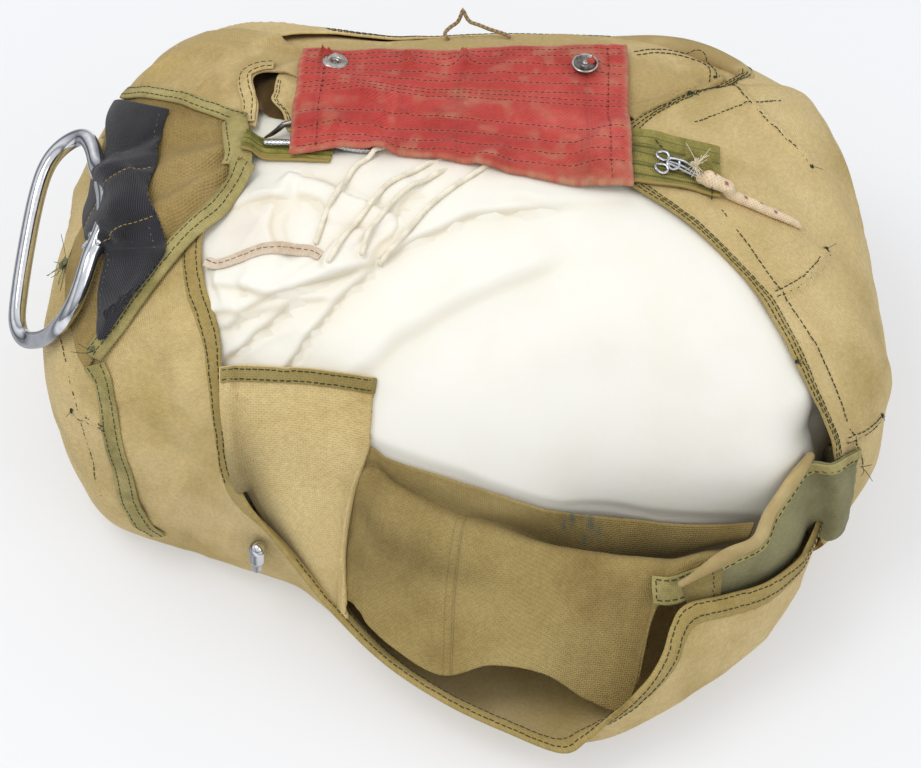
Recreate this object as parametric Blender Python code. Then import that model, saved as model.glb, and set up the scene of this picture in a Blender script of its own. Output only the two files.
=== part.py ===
"""Packed chest parachute: a canvas pack, opened at the front, round its folded canopy.

Metres, +Z up, +X to the right of the open front, +Y to the back. The origin is on the
underside of the base panel. Every cloth is laid over one filled pack form.
"""
import math

import bpy
import numpy as np
from mathutils import Vector
from mathutils.bvhtree import BVHTree

MM = 0.001
PACK_CENTRE = (0.0, 0.030)    # plan centre of the pack form
CROWN = 0.182                 # height of the crown of the filled form
GROUND_LIFT = 0.002           # the form starts on the base panel
CANVAS = 0.0020               # pack canvas, with its seams
FLAP_CLOTH = 0.0016           # inner flap
BELLY_SHARE = 0.36            # share of the form's height parameter below the belly

# The filled form, one row per direction from the pack centre (degrees, 0 = right, 90 = back):
# foot radius, belly radius, belly height (mm), squareness of the shoulder.
FORM = (
    # angle foot belly  height square
    (-60, 128, 150.0, 70, 2.3),
    (-48, 150, 180.0, 70, 2.4),
    (-38, 178, 212.0, 68, 2.5),
    (-29, 186, 221.5, 68, 2.6),
    (-20, 186, 219.0, 74, 2.6),
    (-10, 179, 209.5, 80, 2.6),
    (4, 172, 200.5, 88, 2.5),
    (15, 172, 202.0, 96, 2.5),
    (27, 168, 197.5, 100, 2.5),
    (37, 156, 181.0, 104, 2.5),
    (50, 132, 155.0, 108, 2.5),
    (70, 110, 131.0, 108, 2.5),
    (90, 102, 123.0, 108, 2.5),
    (112, 110, 132.0, 108, 2.5),
    (128, 140, 165.0, 106, 2.5),
    (136, 158, 184.5, 104, 2.5),
    (150, 168, 195.5, 104, 2.5),
    (165, 172, 201.0, 98, 2.5),
    (179, 172, 199.0, 90, 2.5),
    (190, 182, 210.0, 76, 2.6),
    (200, 187, 212.5, 66, 2.6),
    (209, 184, 207.0, 62, 2.6),
    (218, 164, 184.0, 60, 2.5),
    (228, 146, 167.0, 62, 2.4),
    (245, 126, 149.0, 66, 2.3),
    (270, 114, 140.0, 70, 2.3),
    (285, 118, 142.0, 70, 2.3),
)

# The pack wall where it follows the form: angle at the foot, angle and height share of the rim,
# and how far the rim stands off the form (mm).
WALL_ON_FORM = (
    # foot  rim    share lift
    (-34, -33.0, .345, 1),
    (-32, -34.4, .430, 1),
    (-29, -34.0, .500, 1),
    (-25, -31.5, .636, 1),
    (-20, -26.6, .718, 1),
    (-14, -18.2, .816, 1),
    (-7, -9.5, .884, 1),
    (3, 3.0, .900, 1),
    (14, 17.0, .864, 1),
    (20, 21.5, .823, 1),
    (25, 24.6, .765, 1),
    (29, 26.5, .690, 2),
    (34, 31.0, .625, 1),
    (42, 40.0, .590, 0),
    (56, 56.0, .580, 0),
    (72, 72.0, .580, 0),
    (88, 88.0, .590, 0),
    (104, 104., .610, 0),
    (117, 117., .650, 0),
    (128, 128., .690, 1),
    (139, 140., .705, 2),
    (151, 152., .700, 1),
    (164, 165., .700, 0),
    (176, 178., .730, 0),
    (186, 188., .785, 0),
    (194, 197., .775, 1),
    (203, 209.2, .743, 3),
    (212, 219.8, .644, 3),
    (220, 227.2, .483, 3),
)
# The front flap, which hangs open as a tray: foot, belly and rim of each section
# (degrees, mm); the last rows are the corner that tucks inside the right side.
WALL_OPEN = (
    # foot r     belly  r    z    rim    r    z
    (226, 150, 229.0, 166, 40, 232.0, 167, 88),
    (236, 142, 241.0, 158, 36, 242.8, 172, 63),
    (246, 140, 252.0, 171, 28, 252.9, 185, 47),
    (256, 140, 263.0, 192, 22, 264.2, 204, 37),
    (265, 140, 272.5, 207, 16, 273.2, 220, 33),
    (273, 140, 280.3, 224, 14, 280.8, 238, 31),
    (278, 142, 284.5, 227, 15, 284.4, 237, 37),
    (283, 144, 288.5, 230, 20, 288.2, 233, 47),
    (288, 147, 292.5, 230, 25, 291.5, 230, 57),
    (293, 150, 296.0, 228, 28, 294.4, 225, 64),
    (297, 154, 298.0, 227, 30, 297.0, 216, 73),
    (301, 158, 300.5, 226, 31, 299.8, 212, 79),
    (306, 163, 306.0, 225, 33, 306.0, 217, 75),
    (312, 167, 312.0, 224, 37, 312.5, 222, 71),
    (318, 171, 318.0, 219, 44, 319.0, 218, 66),
    (323, 174, 323.0, 214, 48, 324.0, 213, 62),
    (330, 176, 330.0, 209, 50, 330.0, 207, 58),
)

# Left side flap between its top binding and its rolled lower binding, from the outer end to
# the inner end: angle and height share of either edge, and how far it puffs up (mm).
LEFT_FLAP = (
    # top          bottom       puff
    (157.0, .560, 205.0, .545, 0),
    (158.1, .607, 204.0, .590, 2),
    (159.5, .680, 200.5, .700, 4),
    (161.5, .750, 195.0, .770, 5),
    (164.6, .806, 181.0, .815, 2),
)
# Back flap, from under the right side to under the left side: angle, height share of the
# far and the near edge, and how far it stands off the form past the rim and at the near edge.
BACK_FLAP = (
    # angle far  near  middle near (mm)
    (14, .600, .850, -3.1, -3.1),
    (22, .560, .850, -3.1, -3.1),
    (28, .540, .860, -2.6, -3.1),
    (34, .500, .870, -1.0, -3.1),
    (42, .480, .880, 0.5, -3.1),
    (54, .480, .890, 0.5, -3.1),
    (72, .480, .900, 0.0, -3.1),
    (90, .480, .900, 0.0, -3.1),
    (106, .500, .900, 0.5, -3.1),
    (118, .540, .870, 1.0, -2.0),
    (128, .590, .830, 1.0, 0.0),
    (136, .610, .800, 2.5, 3.5),
    (144, .610, .790, 7.0, 7.5),
    (150, .610, .790, 5.0, 5.0),
    (155, .612, .792, 0.5, 0.5),
    (158, .620, .795, -3.1, -3.1),
    (164, .620, .800, -3.1, -3.1),
)
# Long folds of the canopy: plan points (mm), step height and how far the step fades (mm).
# The cloth on the left of the line, looking along it, lies over the cloth on its right.
CANOPY_FOLDS = (
    # points                                                                      step fade
    (((-122, -32), (-101, -33), (-85, -36), (-63, -32), (-40, -25), (-16, -13), (2, -4),
      (16, 2), (40, 3), (66, 6)), 3.5, 14),
    (((-112, -60), (-101, -55), (-85, -46), (-70, -41), (-56, -39), (-30, -24)), 3.0, 12),
    (((-86, -72), (-80, -60), (-68, -48), (-56, -39), (-38, -27), (-22, -18)), 3.0, 14),
    (((-54, -78), (-34, -61), (-20, -50), (-2, -41), (27, -25), (45, -15), (66, -8)), 2.5, 26),
    (((-132, 12), (-112, 11), (-97, 11), (-84, 9), (-62, 8), (-44, 2)), 3.5, 12),
)

# Inner flap, one row per column of cloth from its left wing to its right wing (mm): the top
# edge, the dip behind the ridge, the ridge, the hanging part and the lower edge.
INNER_FLAP = (
    # top               dip                ridge              hang               edge
    ((-112, -64, 148), (-111, -81, 124), (-106, -90, 98), (-94, -103, 74), (-75, -120, 58)),
    ((-95, -67, 151), (-95, -86, 126), (-92, -97, 100), (-82, -109, 76), (-70, -124, 59)),
    ((-76, -69, 152), (-75, -89, 129), (-74, -102, 104), (-71, -114, 79), (-66, -127, 60)),
    ((-58, -72, 153), (-57, -93, 131), (-60, -106, 106), (-61, -116, 81), (-62, -128, 61)),
    ((-43, -75, 153), (-43, -95, 131), (-53, -108, 105), (-58, -118, 80), (-61, -130, 61)),
    ((-40, -74, 151), (-40, -94, 129), (-50, -106, 103), (-55, -117, 77), (-59, -132, 58)),
    ((-43, -93, 124), (-42, -96, 118), (-44, -101, 109), (-50, -118, 76), (-53, -136, 54)),
    ((-33, -97, 120), (-32, -101, 110), (-33, -107, 101), (-40, -130, 68), (-42, -150, 49)),
    ((-4, -103, 112), (-4, -107, 98), (-7, -115, 88), (-11, -138, 65), (-12, -167, 40)),
    ((20, -105, 101), (20, -110, 82), (19, -121, 85), (18, -142, 68), (14, -166, 47)),
    ((45, -105, 87), (44, -112, 64), (44, -126, 83), (42, -146, 70), (38, -169, 44)),
    ((68, -103, 78), (66, -114, 56), (66, -129, 82), (63, -150, 64), (59, -174, 28)),
    ((90, -102, 73), (88, -113, 54), (87, -131, 81), (85, -151, 62), (78, -177, 28)),
    ((106, -104, 73), (103, -113, 57), (99, -131, 82), (95, -142, 76), (91, -149, 70)),
    ((126, -106, 76), (121, -113, 66), (115, -128, 82), (112, -136, 76), (108, -143, 68)),
    ((139, -110, 83), (135, -117, 76), (130, -126, 78), (126, -131, 74), (122, -136, 69)),
)

# Corner gusset (degrees, mm): lower and upper edge, and how far it bows outwards.
GUSSET = (
    # angle r    z   angle  r    z   bow
    (300.8, 206, 71, 300.0, 204, 88, 0),
    (305.9, 210, 67, 306.5, 208, 98, 2),
    (312.5, 215, 62, 311.5, 209, 95, 3),
    (318.0, 213, 58, 315.0, 205, 102, 4),
    (322.5, 209, 54, 320.0, 204, 110, 3),
    (327.0, 203, 50, 325.0, 202, 108, 1),
    (331.0, 200, 50, 330.0, 199, 100, 0),
)

# Red flap, from its left end to its right end (mm): far edge, near edge, and sag of the middle.
RED_FLAP = (
    # far              near             sag
    ((-78, 103, 172), (-86, 29, 176), 2),
    ((-40, 105, 174), (-45, 22, 182), 1),
    ((-2, 107, 175), (-6, 16, 183), 0),
    ((39, 110, 175), (37, 13, 183), 0),
    ((80, 111, 173), (79, 11, 181), 1),
)
RED_FLAP_THICK = 0.0032


def spline(keys, values, at, period=None):
    """A smooth curve through the values: cubic pieces whose slopes are the mean of their sides."""
    keys = np.asarray(keys, float)
    values = np.asarray(values, float)
    if period:
        keys = np.concatenate([keys - period, keys, keys + period])
        values = np.concatenate([values, values, values])
    slope = np.gradient(values, keys, axis=0)
    at = np.asarray(at, float)
    i = np.clip(np.searchsorted(keys, at, side="right") - 1, 0, len(keys) - 2)
    h = keys[i + 1] - keys[i]
    t = (at - keys[i]) / h
    if values.ndim > 1:
        h = h.reshape(h.shape + (1,) * (values.ndim - 1))
        t = t.reshape(h.shape)
    return ((2 * t**3 - 3 * t**2 + 1) * values[i] + (t**3 - 2 * t**2 + t) * h * slope[i]
            + (3 * t**2 - 2 * t**3) * values[i + 1] + (t**3 - t**2) * h * slope[i + 1])


def smooth(a, b, x):
    t = np.clip((x - a) / (b - a), 0, 1)
    return t * t * (3 - 2 * t)


FORM_ROWS = np.array(FORM, float)


def formRaw(angle, share):
    foot, belly, height, square = (
        spline(FORM_ROWS[:, 0], FORM_ROWS[:, k], np.mod(angle + 60, 360) - 60, 360)
        for k in (1, 2, 3, 4))
    foot, belly, height = foot * MM, belly * MM, height * MM
    low = np.clip(share / BELLY_SHARE, 0, 1) * math.pi / 2
    high = np.clip((share - BELLY_SHARE) / (1 - BELLY_SHARE), 0, 1) * math.pi / 2
    power = 2 / square
    r = np.where(share < BELLY_SHARE, foot + (belly - foot) * np.sin(low),
                 belly * np.clip(np.cos(high), 0, 1) ** power)
    z = np.where(share < BELLY_SHARE, height * (1 - np.cos(low)),
                 height + (CROWN - height) * np.clip(np.sin(high), 0, 1) ** power)
    a = np.radians(angle)
    return np.stack([PACK_CENTRE[0] + r * np.cos(a), PACK_CENTRE[1] + r * np.sin(a),
                     z + GROUND_LIFT], -1)


def form(angle, share, lift=0.0):
    """Points of the filled form, moved out along its normal by the lift (metres)."""
    angle, share, lift = np.broadcast_arrays(np.asarray(angle, float), np.asarray(share, float),
                                             np.asarray(lift, float))
    inside = np.clip(share, 0.003, 0.993)
    along = formRaw(angle + 0.3, inside) - formRaw(angle - 0.3, inside)
    up = formRaw(angle, inside + 0.002) - formRaw(angle, inside - 0.002)
    normal = np.cross(along, up)
    normal /= np.maximum(np.linalg.norm(normal, axis=-1, keepdims=True), 1e-12)
    return formRaw(angle, share) + normal * lift[..., None]


def polar(angle, radius, height):
    a = np.radians(angle)
    return np.stack([PACK_CENTRE[0] + radius * MM * np.cos(a),
                     PACK_CENTRE[1] + radius * MM * np.sin(a),
                     np.broadcast_to(height * MM, np.shape(a)) + 0 * a], -1)


def loft(controls, across, along):
    """A smooth sheet of across x along points through a grid of control points."""
    controls = np.asarray(controls, float)
    columns = spline(np.arange(len(controls)), controls, np.linspace(0, len(controls) - 1, across))
    rows = np.swapaxes(columns, 0, 1)
    rows = spline(np.arange(len(rows)), rows, np.linspace(0, len(rows) - 1, along))
    return np.swapaxes(rows, 0, 1)


def normals(grid):
    du = np.gradient(grid, axis=0)
    dv = np.gradient(grid, axis=1)
    n = np.cross(du, dv)
    return n / np.maximum(np.linalg.norm(n, axis=-1, keepdims=True), 1e-12)


def material(name, colour, roughness, metallic=0.0):
    made = bpy.data.materials.new(name)
    made.use_nodes = True
    shader = made.node_tree.nodes["Principled BSDF"]
    shader.inputs["Base Color"].default_value = (*colour, 1)
    shader.inputs["Roughness"].default_value = roughness
    shader.inputs["Metallic"].default_value = metallic
    return made


def addMesh(name, points, faces, look):
    mesh = bpy.data.meshes.new(name)
    mesh.from_pydata([tuple(p) for p in points], [], faces)
    mesh.validate()
    mesh.calc_loop_triangles()
    corners = np.array([[mesh.vertices[i].co[:] for i in t.vertices] for t in mesh.loop_triangles])
    if np.linalg.det(corners - np.array(points).mean(0)).sum() < 0:
        mesh.flip_normals()
    for polygon in mesh.polygons:
        polygon.use_smooth = True
    mesh.materials.append(material(name, *look))
    made = bpy.data.objects.new(name, mesh)
    bpy.context.scene.collection.objects.link(made)
    return made


def shell(name, outer, inner, look):
    """One closed cloth between two grids of the same shape."""
    nu, nv = outer.shape[:2]
    points = np.concatenate([outer.reshape(-1, 3), inner.reshape(-1, 3)])
    faces = []
    half = nu * nv
    for i in range(nu - 1):
        for j in range(nv - 1):
            a = i * nv + j
            faces.append((a, a + nv, a + nv + 1, a + 1))
            faces.append((half + a, half + a + 1, half + a + nv + 1, half + a + nv))
    ring = ([i * nv for i in range(nu)] + [(nu - 1) * nv + j for j in range(1, nv)]
            + [i * nv + nv - 1 for i in range(nu - 2, -1, -1)] + [j for j in range(nv - 2, 0, -1)])
    for a, b in zip(ring, ring[1:] + ring[:1]):
        faces.append((b, a, half + a, half + b))
    return addMesh(name, points, faces, look)


def sheet(name, middle, thickness, look):
    offset = normals(middle) * thickness / 2
    return shell(name, middle + offset, middle - offset, look)


def tube(name, path, radius, look, sides=10):
    """A round cord or rod along a line of points, with flat ends."""
    path = np.asarray(path, float)
    radius = np.broadcast_to(np.asarray(radius, float), (len(path),))
    tangent = np.gradient(path, axis=0)
    tangent /= np.linalg.norm(tangent, axis=1, keepdims=True)
    side = np.cross(tangent[0], (0.12, 0.31, 0.94))
    side /= np.linalg.norm(side)
    points = []
    turn = np.linspace(0, 2 * math.pi, sides, endpoint=False)
    for p, t, r in zip(path, tangent, radius):
        side = side - t * np.dot(side, t)
        side /= np.linalg.norm(side)
        other = np.cross(t, side)
        points.append(p + r * (np.cos(turn)[:, None] * side + np.sin(turn)[:, None] * other))
    points = np.array(points)
    n = len(path)
    faces = [(i * sides + j, i * sides + (j + 1) % sides,
              (i + 1) * sides + (j + 1) % sides, (i + 1) * sides + j)
             for i in range(n - 1) for j in range(sides)]
    faces.append(tuple(range(sides - 1, -1, -1)))
    faces.append(tuple((n - 1) * sides + j for j in range(sides)))
    return addMesh(name, points.reshape(-1, 3), faces, look)


def ring(name, path, radius, look, sides=10):
    """A closed rod through a loop of points."""
    path = np.asarray(path, float)
    tangent = np.roll(path, -1, 0) - np.roll(path, 1, 0)
    tangent /= np.linalg.norm(tangent, axis=1, keepdims=True)
    centre = path.mean(0)
    up = np.linalg.svd(path - centre)[2][2]
    turn = np.linspace(0, 2 * math.pi, sides, endpoint=False)
    out = np.cross(tangent, up)
    out /= np.linalg.norm(out, axis=1, keepdims=True)
    high = np.cross(out, tangent)
    points = (path[:, None] + radius * (np.cos(turn)[None, :, None] * out[:, None]
                                        + np.sin(turn)[None, :, None] * high[:, None]))
    n = len(path)
    faces = [(i * sides + j, i * sides + (j + 1) % sides,
              (i + 1) % n * sides + (j + 1) % sides, (i + 1) % n * sides + j)
             for i in range(n) for j in range(sides)]
    return addMesh(name, points.reshape(-1, 3), faces, look)


def surfaceOf(*objects):
    """What lies below, as one surface to lay things on."""
    points, faces = [], []
    for one in objects:
        start = len(points)
        points += [v.co.copy() for v in one.data.vertices]
        faces += [[start + i for i in p.vertices] for p in one.data.polygons]
    return BVHTree.FromPolygons(points, faces)


def topOf(tree, x, y, default=0.0):
    hit = tree.ray_cast(Vector((x, y, 1)), Vector((0, 0, -1)))[0]
    return hit.z if hit else default


def between(grid, parts):
    """A grid with each cell cut into parts, as the flat cell runs."""
    nu, nv = grid.shape[:2]
    u = np.linspace(0, nu - 1, (nu - 1) * parts + 1)
    v = np.linspace(0, nv - 1, (nv - 1) * parts + 1) if nv > 1 else np.zeros(1)
    i = np.clip(u.astype(int), 0, max(nu - 2, 0))
    j = np.clip(v.astype(int), 0, max(nv - 2, 0))
    shape = (-1, 1) + (1,) * (grid.ndim - 2)
    fu, fv = (u - i).reshape(shape), (v - j).reshape(shape).swapaxes(0, 1)
    k = np.minimum(j + 1, nv - 1)
    low = grid[i][:, j] * (1 - fv) + grid[i][:, k] * fv
    high = grid[i + 1][:, j] * (1 - fv) + grid[i + 1][:, k] * fv
    return low * (1 - fu) + high * fu


def layOver(start, up, wanted, gap, *below, parts=3):
    """Lifts a grid along its up directions until every flat cell clears what lies below."""
    tree = surfaceOf(*below)
    where, direction = between(start, parts), between(up, parts)
    hit = np.full(where.shape[:2], -1.0)
    for k in np.ndindex(hit.shape):
        d = Vector(direction[k]).normalized()
        found = tree.ray_cast(Vector(where[k]) + d * 0.06, -d, 0.09)
        if found[0] is not None:
            hit[k] = 0.06 - found[3]
    lift = np.maximum(np.broadcast_to(np.asarray(wanted, float), start.shape[:2]),
                      hit[::parts, ::parts] + gap)
    nu, nv = lift.shape
    for _ in range(14):
        short = hit + gap - between(lift, parts)
        if short.max() <= 1e-6:
            break
        short = np.maximum(short, 0)
        wide = np.pad(short, parts - 1)
        rise = np.zeros_like(lift)
        for a in range(2 * parts - 1):
            for b in range(2 * parts - 1):
                near = (1 - abs(a - parts + 1) / parts) * (1 - abs(b - parts + 1) / parts)
                rise = np.maximum(rise, near * wide[a:a + (nu - 1) * parts + 1:parts,
                                                    b:b + (nv - 1) * parts + 1:parts]
                                  if nv > 1 else
                                  (1 - abs(a - parts + 1) / parts)
                                  * wide[a:a + (nu - 1) * parts + 1:parts,
                                         parts - 1:parts])
        lift += 1.15 * rise
    return lift


def pushOff(grid, distance, *below):
    """Moves the points of a cloth off the solids it lies against, to at least the distance."""
    tree = surfaceOf(*below)
    grid = grid.copy()
    for _ in range(3):
        for k in np.ndindex(grid.shape[:2]):
            near, normal, _, away = tree.find_nearest(Vector(grid[k]))
            side = (Vector(grid[k]) - near).dot(normal)
            if side < 0 or away < distance:
                grid[k] = near + normal * distance
    return grid


def stepFold(x, y, line, step, fade, blur):
    """Height of one long fold: full beside the line, fading away on its left side."""
    line = np.asarray(line, float) * MM
    best = np.full(np.shape(x), 1e9)
    signed = np.zeros(np.shape(x))
    taper = np.zeros(np.shape(x))
    count = len(line) - 1
    for k in range(count):
        a, b = line[k], line[k + 1]
        d = b - a
        t = np.clip(((x - a[0]) * d[0] + (y - a[1]) * d[1]) / (d @ d), 0, 1)
        away = np.hypot(x - a[0] - t * d[0], y - a[1] - t * d[1])
        side = d[0] * (y - a[1]) - d[1] * (x - a[0])
        nearer = away < best
        best = np.where(nearer, away, best)
        signed = np.where(nearer, away * np.sign(side), signed)
        where = (k + t) / count
        taper = np.where(nearer, smooth(0, .12, where) * smooth(0, .25, 1 - where), taper)
    rise = smooth(-blur, blur, signed)
    return step * MM * rise * np.exp(-np.maximum(signed, 0) / (fade * MM)) * taper


def formUp(angle, share):
    one = form(angle, share, 0.001) - form(angle, share, 0.0)
    return one / np.linalg.norm(one, axis=-1, keepdims=True)


def track(rows, count):
    """Points along a line drawn on the form: rows of angle and height share."""
    rows = np.asarray(rows, float)
    fine = spline(np.arange(len(rows)), rows, np.linspace(0, len(rows) - 1, 200))
    where = form(fine[:, 0], fine[:, 1])
    along = np.concatenate([[0], np.cumsum(np.linalg.norm(np.diff(where, axis=0), axis=1))])
    at = np.interp(np.linspace(0, along[-1], count), along, np.arange(200))
    return spline(np.arange(200), fine, at)


def tapeOver(name, rows, count, width, thick, gap, look, below, across=4, puff=0.0, parts=4):
    """A tape laid along a line on the form, over what is below it."""
    line = track(rows, count)
    centre = form(line[:, 0], line[:, 1])
    up = formUp(line[:, 0], line[:, 1])
    along = np.gradient(centre, axis=0)
    side = np.cross(up, along)
    side /= np.linalg.norm(side, axis=1, keepdims=True)
    wide = np.broadcast_to(np.asarray(width, float), (count,))[:, None, None]
    steps = np.linspace(-0.5, 0.5, across)
    grid = centre[:, None] + side[:, None] * wide * steps[None, :, None]
    ups = np.broadcast_to(up[:, None], grid.shape)
    lift = layOver(grid, ups, -0.02, gap, *below, parts=parts)
    lift = lift + puff * (1 - (2 * steps[None]) ** 2)
    grid = grid + ups * lift[..., None]
    return shell(name, grid + ups * thick, grid, look)


def pathOver(rows, count, gap, *below):
    """A line of points drawn on the form and lifted clear of what is below."""
    line = track(rows, count)
    centre = form(line[:, 0], line[:, 1])[:, None]
    up = formUp(line[:, 0], line[:, 1])[:, None]
    lift = layOver(centre, up, -0.02, gap, *below)
    return (centre + up * lift[..., None])[:, 0]


# ---------------------------------------------------------------- pieces

bpy.ops.object.select_all(action="DESELECT")
for old in list(bpy.data.objects):
    bpy.data.objects.remove(old, do_unlink=True)

TAN = ((0.56, 0.42, 0.19), 0.9)
KHAKI = ((0.40, 0.29, 0.11), 0.92)
OLIVE = ((0.28, 0.26, 0.10), 0.85)
CREAM = ((0.90, 0.86, 0.74), 0.55)
RED = ((0.52, 0.055, 0.05), 0.85)
BLACK = ((0.03, 0.03, 0.035), 0.8)
GREEN_GREY = ((0.22, 0.21, 0.13), 0.8)
STEEL = ((0.75, 0.76, 0.78), 0.15, 1.0)
DARK_STEEL = ((0.18, 0.16, 0.15), 0.4, 1.0)

# Pack wall: each section runs from the foot, round the belly, to the rim.
UP = 10
v = np.linspace(0, 1, UP)


def finer(rows, step):
    rows = np.asarray(rows, float)
    last = len(rows) - 1
    return spline(np.arange(last + 1), rows, np.linspace(0, last, int(round(last / step)) + 1))


closed = finer(WALL_ON_FORM, 0.72)
foot, rim, share, lift = (closed[:, k:k + 1] for k in range(4))
closed = form(foot + (rim - foot) * v**1.5, share * v, lift * MM * smooth(0.75, 1.0, v))
opened = finer(WALL_OPEN, 0.84)
foot, footR, bellyA, bellyR, bellyZ, rim, rimR, rimZ = (opened[:, k:k + 1] for k in range(8))
low = np.clip(v / 0.6, 0, 1) * math.pi / 2
high = np.clip((v - 0.6) / 0.4, 0, 1) * math.pi / 2
opened = polar(foot + (bellyA - foot) * np.sin(low) + (rim - bellyA) * (1 - np.cos(high)),
               footR + (bellyR - footR) * np.sin(low) + (rimR - bellyR) * (1 - np.cos(high)),
               2 + (bellyZ - 2) * (1 - np.cos(low)) + (rimZ - bellyZ) * np.sin(high)
               + 3.0 * smooth(320, 326, foot))
inside = np.concatenate([closed, opened])
out = normals(inside)
out[:, 0] = (0, 0, -1)
wall = shell("pack_wall", inside + out * CANVAS, inside, TAN)

RIM = np.array([(rim, share) for _, rim, share, _ in WALL_ON_FORM if rim > -20])


def rimShare(angle):
    return np.interp(angle, RIM[:, 0], RIM[:, 1])


# Base panel: a flat cloth inside the foot of the wall.
footAngle = np.degrees(np.unwrap(np.arctan2(inside[:, 0, 1] - PACK_CENTRE[1],
                                            inside[:, 0, 0] - PACK_CENTRE[0])))
footRadius = np.hypot(inside[:, 0, 0] - PACK_CENTRE[0], inside[:, 0, 1] - PACK_CENTRE[1])
turn = np.arange(-30, 330, 7.5)
radius = np.interp(turn, footAngle, footRadius) / MM - 1.5
edge = np.stack([polar(turn, radius * k, z) for k, z in
                 ((0.004, 0.0), (1.0, 0.0), (1.0, 1.8), (0.004, 1.8))], 1)
n = len(turn)
points = list(edge.reshape(-1, 3))
faces = [(4 * i + j, 4 * ((i + 1) % n) + j, 4 * ((i + 1) % n) + j + 1, 4 * i + j + 1)
         for i in range(n) for j in range(3)]
faces += [tuple(4 * i for i in range(n - 1, -1, -1)), tuple(4 * i + 3 for i in range(n))]
base = addMesh("base_panel", points, faces, TAN)

# Canopy: the folded cloth that fills the pack, one solid.
TURNS, RISE = 60, 15
angle = np.linspace(-60, 300, TURNS, endpoint=False)[:, None]
share = np.linspace(0, 1, RISE)[None, :-1] ** 0.85
BAND_LINE = np.array(((240, .60), (250.6, .544), (269.3, .49), (288.9, .40), (304.4, .365),
                      (317.8, .363), (324.9, .471)))
round_ = np.mod(angle, 360)
line = np.interp(round_, BAND_LINE[:, 0], BAND_LINE[:, 1])
front = smooth(240, 250, round_) * (1 - smooth(318, 324, round_))
swell = 0.0022 * front * smooth(line, line + .03, share) * (1 - smooth(line + .1, line + .3, share))
back = -0.0034 * smooth(4, 14, angle) * (1 - smooth(164, 176, angle)) \
    * smooth(.42, .48, share) * (1 - smooth(.90, .96, share))
notch = -0.017 * smooth(317, 329, round_) * (1 - smooth(333, 341, round_)) \
    * (1 - smooth(.50, .60, share))
notch -= 0.003 * smooth(217, 222, round_) * (1 - smooth(230, 238, round_)) \
    * (1 - smooth(.62, .68, share))
plain = form(angle + 0 * share, share + 0 * angle)
# Under the wall the canopy keeps a little room.
edge = np.where(angle < -9.5, np.interp(angle, (-35, -34, -31.5, -26.6, -18.2, -9.5),
                                        (.37, .48, .63, .73, .82, .88)), rimShare(angle) - .03)
edge = np.where(angle > 214, np.interp(angle, (214, 219.8, 227.2, 230, 234), (.66, .61, .45, .3, 0)),
                edge)
edge = np.where(angle < -36, .0, edge)
under = -0.0024 * (1 - smooth(edge - .05, edge, share)) * (edge > 0)
folds = sum(stepFold(plain[..., 0], plain[..., 1], points, step, fade, 0.005)
            for points, step, fade in CANOPY_FOLDS)
# The folds stay clear of the wall's edge, where the cloth goes under it.
open_ = smooth(196, 206, angle) * smooth(.60, .72, share) + smooth(.80, .86, share)
grid = form(angle + 0 * share, share + 0 * angle,
            -0.0010 + swell + back + notch + under + folds * np.clip(open_, 0, 1))
rows = grid.shape[1]
points = list(grid.reshape(-1, 3)) + [np.array((*PACK_CENTRE, CROWN + GROUND_LIFT))]
faces = [(i * rows + j, (i + 1) % TURNS * rows + j, (i + 1) % TURNS * rows + j + 1, i * rows + j + 1)
         for i in range(TURNS) for j in range(rows - 1)]
faces += [(i * rows + rows - 1, (i + 1) % TURNS * rows + rows - 1, TURNS * rows)
          for i in range(TURNS)]
under = len(points)
points += [np.array((p[0] * .78, .03 + (p[1] - .03) * .78, GROUND_LIFT + .0006)) for p in grid[:, 0]]
faces += [(i * rows, under + i, under + (i + 1) % TURNS, (i + 1) % TURNS * rows)
          for i in range(TURNS)]
faces.append(tuple(under + i for i in range(TURNS - 1, -1, -1)))
canopy = addMesh("canopy", points, faces, CREAM)

# Back flap, tucked under the wall's rim and the red flap.
rows = np.array(BACK_FLAP, float)
rows = spline(np.arange(len(rows)), rows, np.linspace(0, len(rows) - 1, 26))
v = np.linspace(0, 1, 7)
share = rows[:, 1:2] + (rows[:, 2:3] - rows[:, 1:2]) * v
angle = rows[:, :1] + 0 * v
past = share - rimShare(angle)
low = -0.0031
lift = low + (rows[:, 3:4] * MM - low) * smooth(.012, .060, past)
lift += (rows[:, 4:5] - rows[:, 3:4]) * MM * smooth(.65, 1, v) * smooth(.012, .060, past)
backFlap = shell("back_flap", form(angle, share, lift + CANVAS), form(angle, share, lift), TAN)

# Inner flap: it comes up in front of the canopy, folds over and hangs into the front flap.
middle = loft(np.array(INNER_FLAP, float) * MM, 33, 10)
middle = pushOff(middle, FLAP_CLOTH / 2 + 0.0020, canopy, wall)
innerFlap = sheet("inner_flap", middle, FLAP_CLOTH, KHAKI)

# Corner gusset, from the front flap's corner to the right side.
rows = np.array(GUSSET, float)
rows = spline(np.arange(len(rows)), rows, np.linspace(0, len(rows) - 1, 16))
v = np.linspace(0, 1, 6)
low, high = polar(rows[:, 0], rows[:, 1], rows[:, 2]), polar(rows[:, 3], rows[:, 4], rows[:, 5])
middle = low[:, None] + (high - low)[:, None] * v[None, :, None]
outward = middle[..., :2] - PACK_CENTRE
outward /= np.linalg.norm(outward, axis=-1, keepdims=True)
middle[..., :2] += outward * (rows[:, 6:7] * MM * np.sin(v * math.pi))[..., None]
middle = pushOff(middle, FLAP_CLOTH / 2 + 0.0012, canopy, innerFlap)
gusset = sheet("corner_gusset", middle, FLAP_CLOTH, GREEN_GREY)

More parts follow.
